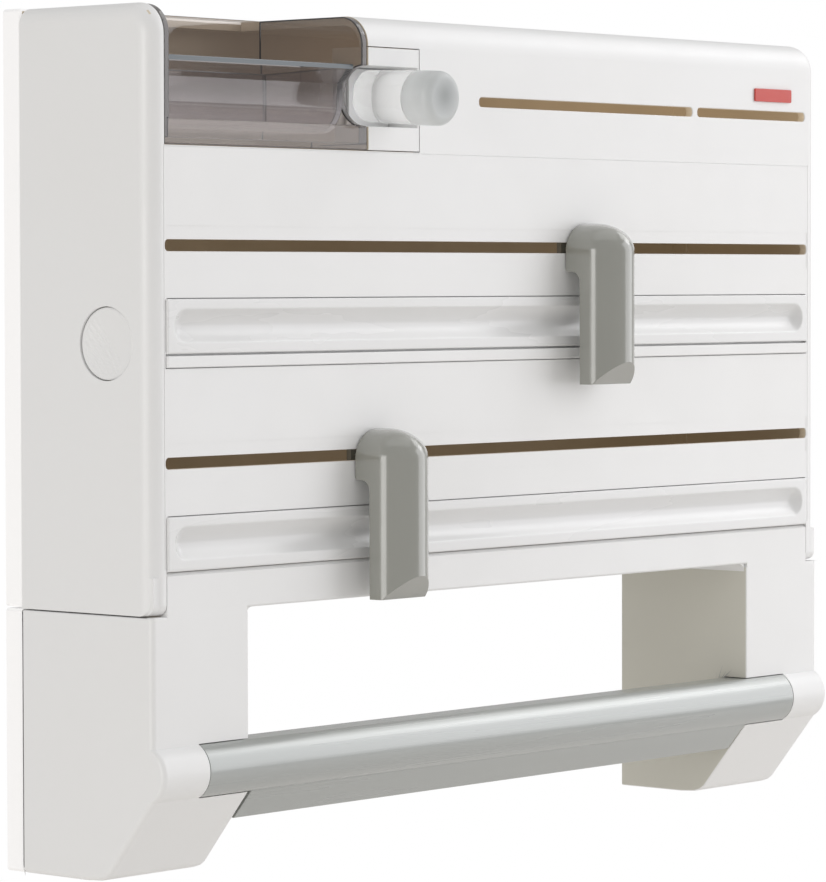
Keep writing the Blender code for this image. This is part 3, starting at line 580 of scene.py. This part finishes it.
def add_cover():
    """The shell, with its lower panel, the box's cut-out, the slots and the rails' seats."""
    cover = add_object("cover_shell", cover_solid())
    inner = HALF - WALL
    cut(cover, prism(cover_outline(0.0, WALL), "X", -inner, inner))
    below = SEAM_Z - 0.047
    behind = at(WALL + 0.001)
    panel = [(BEYOND, below), (behind, below), (behind, PANEL_BOTTOM + 0.0018)]
    panel += [(at(0.0018), PANEL_BOTTOM), (BEYOND, PANEL_BOTTOM)]
    cut(cover, prism(panel, "X", -PANEL_HALF, PANEL_HALF))
    cut(cover, block((BOX[0] - GAP, BEYOND, BOX_FLOOR - GAP), (BOX[1] + GAP, 0.02, 0.2)))
    insert_corner = (INSERT_RIGHT + GAP, at(0.006), INSERT_TOP + GAP)
    cut(cover, block((BOX[1] - 0.001, BEYOND, BOX_FLOOR - GAP), insert_corner))
    for low_x, high_x, z, height in SLOTS:
        cut(cover, prism(stadium(low_x, high_x, z, height, SLOT_R), "Y", BEYOND, at(WALL + 0.002)))
        cut(cover, softened_rim(low_x, high_x, z, height, SLOT_R))
    seat_half, seat_back = RAIL_HALF + GAP, at(0.0015)
    for top in RAIL_TOPS:
        low_z = top - RAIL_HEIGHT
        seat = stadium(-seat_half, seat_half, top - RAIL_HEIGHT / 2, RAIL_HEIGHT + 2 * GAP, 0.0012)
        cut(cover, prism(seat, "Y", BEYOND, seat_back))
        window = RAIL_HALF - 0.0015
        cut(cover, block((-window, BEYOND, low_z + 0.0012), (window, at(0.005), top - 0.0012)))
    lip_top = RAIL_TOPS[0] - RAIL_HEIGHT
    cut(cover, block((-seat_half, BEYOND, lip_top - LIP_HEIGHT - 2 * GAP), (seat_half, seat_back, lip_top)))
    for side in (-1, 1):
        add_cover_fittings(cover, side)
    add_panel_lines(cover)
    finish_piece(cover, "white_plastic", "cover", ["front_cover"])
    paint_inside_shade(cover)


def softened_rim(low_x, high_x, z, height, radius, width=0.00035):
    """A cutter that rounds a slot's front edge."""
    rows = []
    for step in range(7):
        angle = math.radians(15 * step)
        grow = width * (1 - math.sin(angle))
        back = at(width * (1 - math.cos(angle)))
        outline = stadium(low_x - grow, high_x + grow, z, height + 2 * grow, radius + grow)
        rows.append([(x, back, level) for x, level in outline])
    return lofted([[(x, FRONT - 0.001, level) for x, _, level in rows[0]]] + rows)


def add_cover_fittings(cover, side):
    """The hinge ear, the spring's bridge and the button's hole."""
    low_x, high_x = sorted((side * (PANEL_HALF + GAP), side * (HALF - 0.001)))
    ear = arc((at(HINGE_DEPTH), HINGE_Z), 0.0032, 180, 270, 8)
    ear += [(at(0.010), SEAM_Z + GAP), (at(0.010), SEAM_Z + 0.012), (at(GAP), SEAM_Z + 0.012)]
    join(cover, prism(ear, "X", low_x, high_x))
    bore = rod(0.0045, HINGE_BORE_R)
    cut(cover, turned(bore, (side * (PANEL_HALF - 0.0005), at(HINGE_DEPTH), HINGE_Z), (side, 0, 0), 32))
    bridge_half, bridge_reach, strut = 0.006, 0.0172, 0.0016
    low_y, high_y = at(BUTTON_DEPTH - bridge_half), at(BUTTON_DEPTH + bridge_half)
    low_z, high_z = BUTTON_Z - bridge_reach, BUTTON_Z + bridge_reach
    low_x, high_x = sorted((side * (HALF - 0.0170), side * (HALF - 0.0150)))
    join(cover, block((low_x, low_y, low_z), (high_x, high_y, high_z)))
    low_x, high_x = sorted((side * (HALF - 0.0170), side * (HALF - 0.001)))
    for z in (low_z, high_z - strut):
        join(cover, block((low_x, low_y, z), (high_x, high_y, z + strut)))
    hole = rod(0.03, BUTTON_R + GAP)
    cut(cover, turned(hole, (side * (HALF - 0.0145), at(BUTTON_DEPTH), BUTTON_Z), (side, 0, 0), 72))


def add_panel_lines(cover):
    """The faint steps of the moulding: a shallow band round each film slot and the panel's own outline."""
    depth = 0.00012
    for z in FILM_SLOTS_Z:
        for low_z, high_z in ((z + 0.0019, z + 0.0062), (z - 0.0068, z - 0.0019)):
            cut(cover, block((-PANEL_HALF, BEYOND, low_z), (PANEL_HALF, at(depth), high_z)))
    line, edge, top = 0.00022, PANEL_HALF + 0.0006, BOX_FLOOR - GAP
    cut(cover, block((-edge, BEYOND, top - GAP - line), (edge + 0.0004, at(depth * 1.6), top - GAP)))
    for x in (-edge, edge):
        cut(cover, block((x - line / 2, BEYOND, PANEL_BOTTOM + 0.001), (x + line / 2, at(depth), top)))


def paint_inside_shade(piece):
    """The inner faces and the slots' walls get the inner plastic, whose brown is painted shade."""
    piece.data.materials.append(INNER_PAINTED_SHADE)
    for face in piece.data.polygons:
        centre = face.center
        inside = abs(centre.x) < HALF - WALL + 0.0001 and centre.y > at(WALL - 0.0001)
        if inside and centre.z < TOP - WALL + 0.0001 or in_slot(centre):
            face.material_index = 1


def in_slot(centre):
    """True for a point on a slot's own walls, behind its softened rim."""
    if centre.y < at(0.0004) or centre.y > at(WALL):
        return False
    return any(low_x - 0.0003 < centre.x < high_x + 0.0003 and abs(centre.z - z) < height / 2 + 0.0001
               for low_x, high_x, z, height in SLOTS)


def rail_depth(x, z, middle):
    """How deep the finger groove is at a point of the rail's face."""
    half_height, deepest = 0.0052, 0.0032
    reach = RAIL_HALF - 0.0030 - half_height
    away = max(abs(x) - reach, 0.0)
    share = math.hypot(away, z - middle) / half_height
    curve = 1 - share**1.7
    soft = 0.05
    return deepest * 0.5 * (curve + math.sqrt(curve * curve + soft * soft)) if share < 1.6 else 0.0


def spread(low, high, count):
    """Evenly spaced values from low to high."""
    return [low + (high - low) * i / count for i in range(count + 1)]


def rail_columns():
    """X stations along a rail: close together at its rounded ends and where the groove's ends curve."""
    left = [-RAIL_HALF + 0.0001 * i for i in (0, 1, 2, 3, 5)]
    left += spread(-RAIL_HALF + 0.001, -RAIL_HALF + 0.013, 32)
    middle = spread(-RAIL_HALF + 0.02, RAIL_HALF - 0.02, 14)
    return left + middle + [-x for x in reversed(left)]


def rail_levels(low_z, top):
    """Z stations across a rail: close together at its rounded edges."""
    levels = [low_z + 0.0001 * i for i in (0, 1, 2, 3, 5)] + spread(low_z + 0.0010, top - 0.0010, 64)
    return levels + [top - 0.0001 * i for i in (5, 3, 2, 1, 0)]


def rail_front(shape, top):
    """The rail's grooved face, as a grid of vertices by column and level."""
    low_z = top - RAIL_HEIGHT
    proud, edge = 0.0006, 0.0005
    middle = top - 0.0085
    levels = rail_levels(low_z, top)
    grid = []
    for x in rail_columns():
        column = []
        for z in levels:
            near = min(x + RAIL_HALF, RAIL_HALF - x, z - low_z, top - z)
            rounding = edge - math.sqrt(max(edge**2 - (edge - near) ** 2, 0)) if near < edge else 0.0
            column.append(shape.verts.new((x, FRONT - proud + rounding + rail_depth(x, z, middle), z)))
        grid.append(column)
    for left, right in zip(grid, grid[1:]):
        for j in range(len(levels) - 1):
            shape.faces.new([left[j], right[j], right[j + 1], left[j + 1]])
    return grid


def clamped(value, low, high):
    return min(max(value, low), high)


def add_rail(name, top):
    """A rail with its groove in front, and a stepped back that seats it in the cover's window."""
    low_z = top - RAIL_HEIGHT
    shape = bmesh.new()
    grid = rail_front(shape, top)
    rim = grid[0] + [row[-1] for row in grid[1:]] + grid[-1][-2::-1] + [row[0] for row in grid[-2:0:-1]]
    rings = [rim]
    for depth, side_step, end_step in ((0.0012, 0, 0), (0.0012, 0.0018, 0.0015), (0.0046, 0.0018, 0.0015)):
        far_x, low, high = RAIL_HALF - side_step, low_z + end_step, top - end_step
        rings.append([shape.verts.new((clamped(v.co.x, -far_x, far_x), at(depth), clamped(v.co.z, low, high)))
                      for v in rim])
    for front_ring, back_ring in zip(rings, rings[1:]):
        for i in range(len(rim)):
            j = (i + 1) % len(rim)
            shape.faces.new([front_ring[i], front_ring[j], back_ring[j], back_ring[i]])
    shape.faces.new(rings[-1])
    bmesh.ops.remove_doubles(shape, verts=shape.verts, dist=1e-6)
    rail = add_object(name + "_moulding", mesh_of(shape))
    finish_piece(rail, "gloss_white_plastic", "cover", [name], angle=50)


def add_lip():
    """The narrow strip under the upper rail."""
    top = RAIL_TOPS[0] - RAIL_HEIGHT - 2 * GAP
    low = (-RAIL_HALF, FRONT - 0.0006, top - LIP_HEIGHT + GAP)
    lip = add_object("film_lip_moulding", block(low, (RAIL_HALF, at(0.0012), top)))
    bevel(lip, 0.0004, 4, 50)
    finish_piece(lip, "white_plastic", "cover", ["film_lip_strip"])


def add_badge():
    """The blank red plate at the upper right."""
    outline = stadium(0.1372, 0.1595, 0.11875, 0.0047, 0.0005)
    badge = add_object("plain_badge", prism(outline, "Y", FRONT - 0.0007, FRONT - 0.0001))
    bevel(badge, 0.0001, 2, 50)
    finish_piece(badge, "red_badge", "cover", ["blank_badge"])


# ---------------------------------------------------------------- cutters


def handle_section(z, rear, half, side_depth, crown, corner=0.0016):
    """One level of a handle: flat back and sides, a rounded edge and a crowned front."""
    front = []
    steps = 36
    for step in range(steps + 1):
        share = math.sin(math.pi / 2 * (2 * step / steps - 1))
        start = 1 - corner / half
        over = max((abs(share) - start) / (1 - start), 0.0)
        edge = corner * (1 - math.sqrt(max(1 - over * over, 0.0)))
        front.append((share * half, -(side_depth + (crown - side_depth) * (1 - share * share) - edge), z))
    depth = side_depth - corner
    levels = [depth + (rear - depth) * i / 5 for i in range(1, 6)]
    right = [(half, -d, z) for d in levels]
    back = [(half * (1 - i / 6), -rear, z) for i in range(1, 12)]
    left = [(-half, -d, z) for d in reversed(levels)]
    return front + right + back + left


def handle_rows(bottom):
    """A handle's levels from its foot up: a grip that stands off the front, a head on it and a domed top."""
    half, side_depth, crown = 0.0110, 0.0120, 0.0195
    head, dome, top = -0.0082, -0.0014, 0.0085
    standoff, touching, fillet, foot = 0.0065, 0.0004, 0.0036, 0.0009
    levels = [(z, standoff) for z in spread(bottom, head - 0.0040, 10)]
    for step in range(1, 10):
        angle = math.radians(10 * step)
        levels.append((head - fillet + fillet * math.sin(angle), standoff - fillet * (1 - math.cos(angle))))
    for step in range(1, 7):
        angle = math.radians(15 * step)
        levels.append((head + foot - foot * math.cos(angle), touching + foot * (1 - math.sin(angle))))
    levels.append(((head + foot + dome) / 2, touching))
    rows = [handle_section(z, rear, half, side_depth, crown) for z, rear in levels]
    tip_side, tip_crown = 0.0040, 0.0050
    for step in range(31):
        angle = math.radians(3 * step)
        shrink = math.cos(angle)
        side = tip_side + (side_depth - tip_side) * shrink
        front = tip_crown + (crown - tip_crown) * shrink
        width = half * max(shrink, 0.05)
        rows.append(handle_section(dome + (top - dome) * math.sin(angle), touching, width, side, front,
                                   min(0.0016, width * 0.8)))
    return rows


def add_handle(name, x, slot_z):
    """A cutter's handle, cut off at a slant below and with its lower edges softened."""
    bottom = -0.0471
    shape = bmesh.new()
    shape.from_mesh(lofted(handle_rows(bottom)))
    slope = Vector((0, -0.70, -0.72)).normalized()
    point = Vector((0, -0.0116, bottom))
    whole = shape.verts[:] + shape.edges[:] + shape.faces[:]
    made = bmesh.ops.bisect_plane(shape, geom=whole, plane_co=point, plane_no=slope, clear_outer=True)
    edges = [item for item in made["geom_cut"] if isinstance(item, bmesh.types.BMEdge)]
    bmesh.ops.edgeloop_fill(shape, edges=edges)
    base = [e for e in shape.edges if len(e.link_faces) == 2 and e.calc_face_angle() > 0.45
            and all(v.co.z < bottom + 0.0085 for v in e.verts)]
    bmesh.ops.bevel(shape, geom=base, offset=0.0005, segments=3, profile=0.5, affect="EDGES",
                    clamp_overlap=True)
    mesh = mesh_of(shape)
    mesh.transform(Matrix.Translation((x, FRONT, slot_z)))
    handle = add_object(name + "_grip", mesh)
    finish_piece(handle, "grey_plastic", name, [name + "_handle"], angle=42)


# ---------------------------------------------------------------- release buttons


def button_height(radius, angle):
    """How far the button's face stands back: a shallow dish with slanting ribs on its lower half."""
    dish = 0.0006 * max(0.0, 1 - (radius / 0.0102) ** 2)
    u, w = radius * math.cos(angle), radius * math.sin(angle)
    across = u * 0.78 - w * 0.62
    inside = radius < 0.0098 and across > -0.0012
    if not inside:
        return dish + 0.0002
    wave = math.sin(across * 2 * math.pi / 0.0021)
    return dish + 0.0002 - 0.00022 * max(-0.4, wave)


def add_button(side):
    """The button's ribbed face, its flange and spring peg, and the arm that reaches back to the catch."""
    name = "left" if side < 0 else "right"
    shape = bmesh.new()
    centre = Vector((side * BUTTON_FACE, at(BUTTON_DEPTH), BUTTON_Z))
    steps, flange, peg = 160, 0.0132, 0.0032
    angles = [2 * math.pi * step / steps for step in range(steps)]
    rings = []

    def add_ring(radius, backs):
        corners = [(-side * back, radius * math.cos(a), radius * math.sin(a))
                   for a, back in zip(angles, backs)]
        rings.append([shape.verts.new(centre + Vector(corner)) for corner in corners])

    for radius in spread(0.0004, 0.0108, 52) + [0.0110, 0.0112, 0.0113, BUTTON_R]:
        rim = 0.0001 + max(0.0, radius - 0.0108) ** 2 / 0.0006 * 0.6
        add_ring(radius, [button_height(radius, a) if radius <= 0.0105 else rim for a in angles])
    behind = ((BUTTON_R, 0.0040), (flange, 0.0040), (flange, 0.0056), (peg, 0.0056), (peg, 0.0105))
    for radius, back in behind:
        add_ring(radius, [back] * steps)
    shape.faces.new(rings[0])
    shape.faces.new(rings[-1])
    for lower, upper in zip(rings, rings[1:]):
        for i in range(steps):
            j = (i + 1) % steps
            shape.faces.new([lower[i], lower[j], upper[j], upper[i]])
    low_x, high_x = sorted((side * (BUTTON_FACE - 0.0056), side * (BUTTON_FACE - 0.0042)))
    arm = block((low_x, at(0.030), BUTTON_Z - 0.003), (high_x, at(0.0600), BUTTON_Z + 0.003))
    shape.from_mesh(arm)
    button = add_object(name + "_button_moulding", mesh_of(shape))
    finish_piece(button, "white_plastic", name + "_button", [name + "_release_button"])


# ---------------------------------------------------------------- accessory box


def add_box():
    """The smoked box: open above, and in front over a low sill, with a round notch beside the knob."""
    radius = 0.0095
    wall = 0.0025
    front, back, top = at(GAP), at(BOX_BACK), TOP - 0.0002
    outline = [(back, BOX_FLOOR), (front, BOX_FLOOR)]
    outline += arc((front + radius, top - radius), radius, 180, 90, 20) + [(back, top)]
    box = add_object("smoked_box", prism(outline, "X", BOX[0], BOX[1]))
    low_x, high_x = BOX[0] + wall, BOX[1] - wall
    cut(box, block((low_x, front + 0.002, BOX_FLOOR + 0.002), (high_x, back - 0.0018, 0.2)))
    cut(box, block((low_x, BEYOND + GAP, BOX_FLOOR + 0.0080), (high_x, front + 0.003, 0.2)))
    middle = (WINDOW[0] + WINDOW[1]) / 2
    cut(box, turned(rod(0.01, KNOB_R + 0.001), (BOX[1] - 0.005, front, middle), (1, 0, 0), 64))
    bevel(box, 0.0004, 3, 50)
    finish_piece(box, "smoked_plastic", "housing", ["accessory_box"])
    paint_edge_and_lip_shade(box)


def paint_edge_and_lip_shade(target, lip_z=None):
    """Paints shade on the clear plastic: a dark line along the rounded edges of the end walls, and a
    blue-grey front on a tray's lip.
    """
    target.data.materials.append(SMOKED_EDGE_PAINTED_SHADE)
    if lip_z:
        target.data.materials.append(TRAY_LIP_PAINTED_SHADE)
    for face in target.data.polygons:
        if 0.15 < abs(face.normal.x) < 0.985:
            face.material_index = 1
        elif lip_z and face.center.z > lip_z and face.normal.y < -0.5:
            face.material_index = 2


def tray_outline(wall):
    """The tray from the side, or its inside where a wall is given: an upright lip over a rounded front."""
    top = 0.122 + (0.01 if wall else 0)
    floor = 0.0995 + wall
    lean = at(0.0030 + wall * 1.3)
    outline = [(at(0.0432 - wall), floor), (at(0.0432 - wall), top), (lean, top)]
    outline += [(lean, TRAY_LIP_Z - 0.0001 + wall * 0.3), (at(0.0077 + wall), 0.1157 + wall * 0.4)]
    outline += [(at(0.0079 + wall), 0.1100)]
    return outline + arc((at(0.0179), 0.1095), 0.0100 - wall, 180, 270, 16)


def add_tray():
    """The smoked tray, which stands loose in the box."""
    low_x, high_x = BOX[0] + 0.0031, BOX[1] - 0.0035
    wall = 0.0016
    tray = add_object("smoked_tray", prism(tray_outline(0), "X", low_x, high_x))
    cut(tray, prism(tray_outline(wall), "X", low_x + wall, high_x - wall))
    bevel(tray, 0.0004, 3, 50)
    finish_piece(tray, "smoked_plastic", "tray", ["inner_tray"], material=TRAY)
    paint_edge_and_lip_shade(tray, TRAY_LIP_Z)


def add_insert():
    """The white block beside the box, with a window for the catch and its knob."""
    low = (BOX[1] + GAP, at(0), BOX_FLOOR)
    insert = add_object("catch_housing", block(low, (INSERT_RIGHT, at(0.0150), INSERT_TOP)))
    low = (BOX[1] - 0.01, BEYOND, WINDOW[0])
    cut(insert, block(low, (INSERT_RIGHT - 0.0008, at(0.013), WINDOW[1])))
    bevel(insert, 0.0003, 2, 50)
    finish_piece(insert, "white_plastic", "housing", ["catch_pocket"])
    # Painted shade: the insert's face towards the box gets the brown inner plastic, so it looks dark through
    # the smoked wall.
    insert.data.materials.append(INNER_PAINTED_SHADE)
    for face in insert.data.polygons:
        if face.normal.x < -0.9 and face.center.x < BOX[1] + 2 * GAP:
            face.material_index = 1


def add_knob():
    """The knob, drooping a little: a clear shank with a frosted end."""
    droop = math.radians(3)
    axis = Vector((0, -math.cos(droop), -math.sin(droop)))
    start = Vector((KNOB_X, at(0.0119) - GAP - KNOB_R * math.sin(droop), 0.11235))
    length, rim = 0.0212, 0.0006
    profile = [(0, 0)] + arc((rim, KNOB_R - rim), rim, 180, 90, 3) + [(length, KNOB_R), (length, 0)]
    shank = add_object("knob_clear_shank", turned(profile, start, axis, 128))
    finish_piece(shank, "clear_plastic", "catch", ["knob_shank"]).visible_shadow = False
    start = start + axis * (length + GAP)
    end, outer, edge, dome = 0.0113, KNOB_R + 0.0002, 0.0030, 0.0001
    profile = [(0, 0), (0, outer - 0.0003), (0.0003, outer)]
    profile += arc((end - edge, outer - edge), edge, 90, 0, 9) + [(end + dome, 0.0030), (end + dome, 0)]
    tip = add_object("knob_frosted_end", turned(profile, start, axis, 128))
    finish_piece(tip, "frosted_plastic", "catch", ["knob_end"])


# ---------------------------------------------------------------- lower bracket and bar


def bar_front():
    """The round front that the bar and the arms' ends share, in (y, z)."""
    half = (BAR_TOP - BAR_LEDGE) / 2
    angle = math.degrees(math.asin(half / BAR_R))
    return arc((at(BAR_DEPTH), BAR_MID), BAR_R, 180 - angle, 180 + angle, 24)


def arm_outline():
    """An arm from the side: straight, then slanting back under the bar to a rounded chin."""
    outline = [(at(0), SEAM_Z - GAP), (at(0), BAR_LEDGE), (at(CHIN_DEPTH - 0.0006), CHIN_Z)]
    outline += [(at(CHIN_DEPTH + 0.0012), CHIN_Z - 0.0013), (at(CHIN_DEPTH + 0.0040), CHIN_Z - 0.0022)]
    outline += [(at(0.0300), BOTTOM + 0.0002), (FRAME_FRONT, BOTTOM + 0.0002)]
    return outline + [(FRAME_FRONT, SEAM_Z - GAP)]


def crosspiece_outline(underside):
    """The crosspiece from the side: a front and a floor, with a rounded lower edge."""
    front_top, floor_top = PANEL_BOTTOM - GAP, SEAM_Z + 0.0030
    turn = 0.0008
    outline = arc((at(turn), underside + turn), turn, 270, 180, 6)
    outline += [(at(0), front_top - 0.0010), (at(0.0010), front_top)]
    outline += [(at(0.0065), front_top), (at(0.0065), floor_top), (FRAME_FRONT, floor_top)]
    return outline + [(FRAME_FRONT, underside)]


def seat_outline():
    """The hollow in an arm that takes the bar, from the side."""
    rear = arc((at(BAR_DEPTH), BAR_MID), BAR_R + GAP, -60, 60, 16)
    low_z, high_z = BAR_LEDGE - GAP, BAR_TOP + GAP
    return [(FRONT - 0.02, low_z), (rear[0][0], low_z), *rear, (rear[-1][0], high_z), (FRONT - 0.02, high_z)]


def arm_end(side):
    """The round white end beside the bar, tapering into the arm's rounded corner."""
    rear = at(0.010)
    radius = ARM_CORNER_R
    stations = [(BAR_SEAT, 0.0), (HALF - radius, 0.0)]
    for step in range(1, 11):
        angle = math.radians(8.8 * step)
        stations.append((HALF - radius + radius * math.sin(angle), radius * (1 - math.cos(angle))))
    rows = []
    for x, inset in stations:
        row = [(side * x, y + inset, z) for y, z in bar_front()]
        row += [(side * x, rear, BAR_LEDGE), (side * x, rear, BAR_MID), (side * x, rear, BAR_TOP)]
        rows.append(row)
    return lofted(rows)


def add_corner_web(side):
    """The small web that rounds the opening's upper corner."""
    radius = 0.0028
    x, z = side * (ARM_INNER - radius), OPENING_TOP - radius
    curve = arc((0, 0), radius, 90, 0, 8)
    edge = side * (ARM_INNER + 0.0002)
    outline = [(edge, OPENING_TOP + 0.0002), (x, OPENING_TOP + 0.0002)]
    outline += [(x + side * dx, z + dz) for dx, dz in curve]
    outline += [(edge, z)]
    web = add_object("left_corner_web" if side < 0 else "right_corner_web",
                     prism(outline, "Y", at(0.0010), FRAME_FRONT - 0.001))
    finish_piece(web, "white_plastic", "housing")


def straight_or_inner(face):
    """True for a face of the bracket that looks straight along an axis or lies on an arm's inner edge."""
    straight = face.area > 5e-7 and max(abs(part) for part in face.normal) > 0.9999
    return straight or abs(abs(face.center.x) - ARM_INNER) < 0.0012


def add_bracket():
    """The crosspiece and its two hollow arms, with seats for the bar and bores for the hinge pins."""
    half, soft_edge = PANEL_HALF - GAP, 0.0006
    bracket = add_object("bracket_moulding", prism(crosspiece_outline(OPENING_TOP), "X", -half, half))
    for side in (-1, 1):
        arm = rounded_prism(arm_outline(), lambda m: m[0] < FRAME_FRONT - 0.001 and m[1] < SEAM_Z - 0.001,
                            side * ARM_INNER, side * HALF, ARM_CORNER_R, 12)
        join(bracket, softened(arm, soft_edge))
        shoulder = crosspiece_outline(SEAM_Z - 0.003)
        join(bracket, prism(shoulder, "X", *sorted((side * (ARM_INNER + soft_edge), side * half))))
    for side in (-1, 1):
        add_corner_web(side)
        join(bracket, arm_end(side))
        low_x, high_x = sorted((side * (ARM_INNER + WALL), side * (HALF - WALL)))
        hollow = [(at(0.0165), SEAM_Z - WALL), (at(0.0165), BAR_LEDGE - 0.004)]
        hollow += [(at(CHIN_DEPTH + 0.0035), CHIN_Z + 0.0008), (0.01, CHIN_Z + 0.0008), (0.01, SEAM_Z - WALL)]
        cut(bracket, prism(hollow, "X", low_x, high_x))
        low_x, high_x = sorted((side * (ARM_INNER - 0.01), side * BAR_SEAT))
        cut(bracket, prism(seat_outline(), "X", low_x, high_x))
        bore = rod(0.02, HINGE_BORE_R)
        cut(bracket, turned(bore, (side * (PANEL_HALF - 0.008), at(HINGE_DEPTH), HINGE_Z), (side, 0, 0), 32))
    finish_piece(bracket, "white_plastic", "housing", ["lower_bracket"], also_flat=straight_or_inner)
    # Painted shade: the arms' inner faces below the opening get the darker, warmer recess plastic.
    bracket.data.materials.append(RECESS_PAINTED_SHADE)
    for face in bracket.data.polygons:
        inner = abs(face.normal.x) > 0.9 and abs(abs(face.center.x) - ARM_INNER) < 0.0004
        if inner and face.center.z < OPENING_TOP:
            face.material_index = 1


def bar_outline():
    """The bar from the side: a round front over a thin apron that points down."""
    tip_y, tip_z = at(0.0076), -0.1205
    outline = bar_front() + [(at(0.0001), BAR_LEDGE - 0.0004), (tip_y - 0.0006, tip_z + 0.0008)]
    outline += [(tip_y - 0.0001, tip_z + 0.0002), (tip_y + 0.0006, tip_z), (tip_y + 0.0022, tip_z + 0.0006)]
    return outline + arc((at(BAR_DEPTH), BAR_MID), BAR_R, -8, 59, 16)


def add_bar():
    """The kitchen-roll bar, whose round ends reach into the arms."""
    half, end = ARM_INNER - 0.0010, BAR_SEAT - GAP
    bar = add_object("roll_bar_profile", prism(bar_outline(), "X", -half, half))
    rear = arc((at(BAR_DEPTH), BAR_MID), BAR_R, -61, 61, 20)
    join(bar, prism(bar_front() + rear, "X", -end, end))
    bevel(bar, 0.0002, 2, 55)
    replaced = ["kitchen_roll_bar", "left_bar_end_plug", "right_bar_end_plug"]
    finish_piece(bar, "silver_grey_plastic", "bar", replaced, angle=25)


# ---------------------------------------------------------------- the rest of the frame


def dress_frame():
    """Procedural materials on the CAD nodes that are shown as they are, with painted shade inside the housing
    and a painted glow on the wall frames.
    """
    slots = {entry["node"]: entry["material_slot"] for entry in frame["record"]["subparts"]}
    for name, node in NODES.items():
        node.data.materials.clear()
        # The troughs get the inner plastic, whose brown is painted shade.
        node.data.materials.append(INNER_PAINTED_SHADE if name in PAINTED_SHADE_TROUGHS else MATERIALS[slots[name]])
    # Painted light: the wall frames get the brightened, glowing white.
    for name in ("upper_wall_frame", "lower_wall_frame"):
        NODES[name].data.materials[0] = FRAME_PAINTED_GLOW
    # Painted shade: the plate's faces inside the housing get the brown inner plastic.
    plate = NODES["upper_wall_frame"]
    plate.data.materials.append(INNER_PAINTED_SHADE)
    for face in plate.data.polygons:
        centre = face.center
        outside = abs(centre.x) > 0.1750 or centre.z > TOP - 0.0015 or centre.z < SEAM_Z + 0.0015
        if not outside and face.normal.y < 0.5:
            face.material_index = 1


# ---------------------------------------------------------------- studio

YAW = math.radians(49.05)
PITCH = math.radians(2.17)
ROLL = math.radians(-0.11)
CAMERA_PLACE = (-1.1183, -0.9916, 0.0516)
LENS = 173.65
AIM = (0, -0.03, 0)


def add_camera():
    """A camera at the photograph's place and angle."""
    forward = Vector((math.sin(YAW) * math.cos(PITCH), math.cos(YAW) * math.cos(PITCH), -math.sin(PITCH)))
    side = Vector((math.cos(YAW), -math.sin(YAW), 0))
    above = side.cross(forward)
    right = math.cos(ROLL) * side + math.sin(ROLL) * above
    up = -math.sin(ROLL) * side + math.cos(ROLL) * above
    data = bpy.data.cameras.new("camera")
    data.sensor_width = 36
    data.lens = LENS
    data.clip_start = 0.05
    camera = bpy.data.objects.new("camera", data)
    turn = Matrix((right, up, -forward)).transposed().to_4x4()
    camera.matrix_world = Matrix.Translation(CAMERA_PLACE) @ turn
    bpy.context.scene.collection.objects.link(camera)
    bpy.context.scene.camera = camera


def add_area(name, place, size, power, colour=(1, 1, 1)):
    """A square softbox, aimed at the middle of the object."""
    data = bpy.data.lights.new(name, "AREA")
    data.energy = power
    data.size = size
    data.color = colour
    light = bpy.data.objects.new(name, data)
    light.location = place
    light.rotation_euler = (Vector(AIM) - Vector(place)).to_track_quat("-Z", "Y").to_euler()
    bpy.context.scene.collection.objects.link(light)


def add_world(level):
    """Even studio light, on a plain white background."""
    world = bpy.data.worlds.new("studio")
    world.use_nodes = True
    tree = world.node_tree
    glow = tree.nodes["Background"]
    glow.inputs["Color"].default_value = (1.0, 0.995, 0.985, 1)
    glow.inputs["Strength"].default_value = level
    white = tree.nodes.new("ShaderNodeBackground")
    white.inputs["Color"].default_value = (1, 1, 1, 1)
    white.inputs["Strength"].default_value = 1.0
    path = tree.nodes.new("ShaderNodeLightPath")
    mix = tree.nodes.new("ShaderNodeMixShader")
    tree.links.new(path.outputs["Is Camera Ray"], mix.inputs["Fac"])
    tree.links.new(glow.outputs["Background"], mix.inputs[1])
    tree.links.new(white.outputs["Background"], mix.inputs[2])
    tree.links.new(mix.outputs["Shader"], tree.nodes["World Output"].inputs["Surface"])
    bpy.context.scene.world = world


def add_floor():
    """A pale floor, well below the object."""
    reach, z = 1.6, -0.55
    mesh = bpy.data.meshes.new("floor")
    corners = [(-reach, -reach, z), (reach, -reach, z), (reach, reach, z), (-reach, reach, z)]
    mesh.from_pydata(corners, [], [(0, 1, 2, 3)])
    floor = add_object("floor", mesh)
    made = Shader("pale_floor", (0.86, 0.835, 0.80), 0.7)
    made.vary_roughness(3, 0.05)
    mesh.materials.append(made.material)


def add_lights():
    """Plain, soft studio light."""
    add_world(0.52)
    add_area("key", (1.45, -1.20, 0.50), 1.75, 17.2, (1, 1, 1.03))
    add_area("left_fill", (-1.9, -0.25, 0.15), 0.9, 9.0, (1, 0.985, 0.97))
    add_area("top_rim", (0.1, -0.1, 1.6), 1.5, 3.4)
    add_area("right_rim", (1.3, -0.38, 1.08), 0.9, 4.6)
    bpy.context.scene.view_settings.view_transform = "Standard"


dress_frame()
add_cover()
for rail_name, rail_top in zip(("upper_film_rail", "lower_film_rail"), RAIL_TOPS):
    add_rail(rail_name, rail_top)
add_lip()
add_badge()
for cutter_name, (cutter_x, cutter_z) in CUTTERS.items():
    add_handle(cutter_name, cutter_x, cutter_z)
for button_side in (-1, 1):
    add_button(button_side)
add_box()
add_tray()
add_insert()
add_knob()
add_bracket()
add_bar()
add_camera()
add_floor()
add_lights()
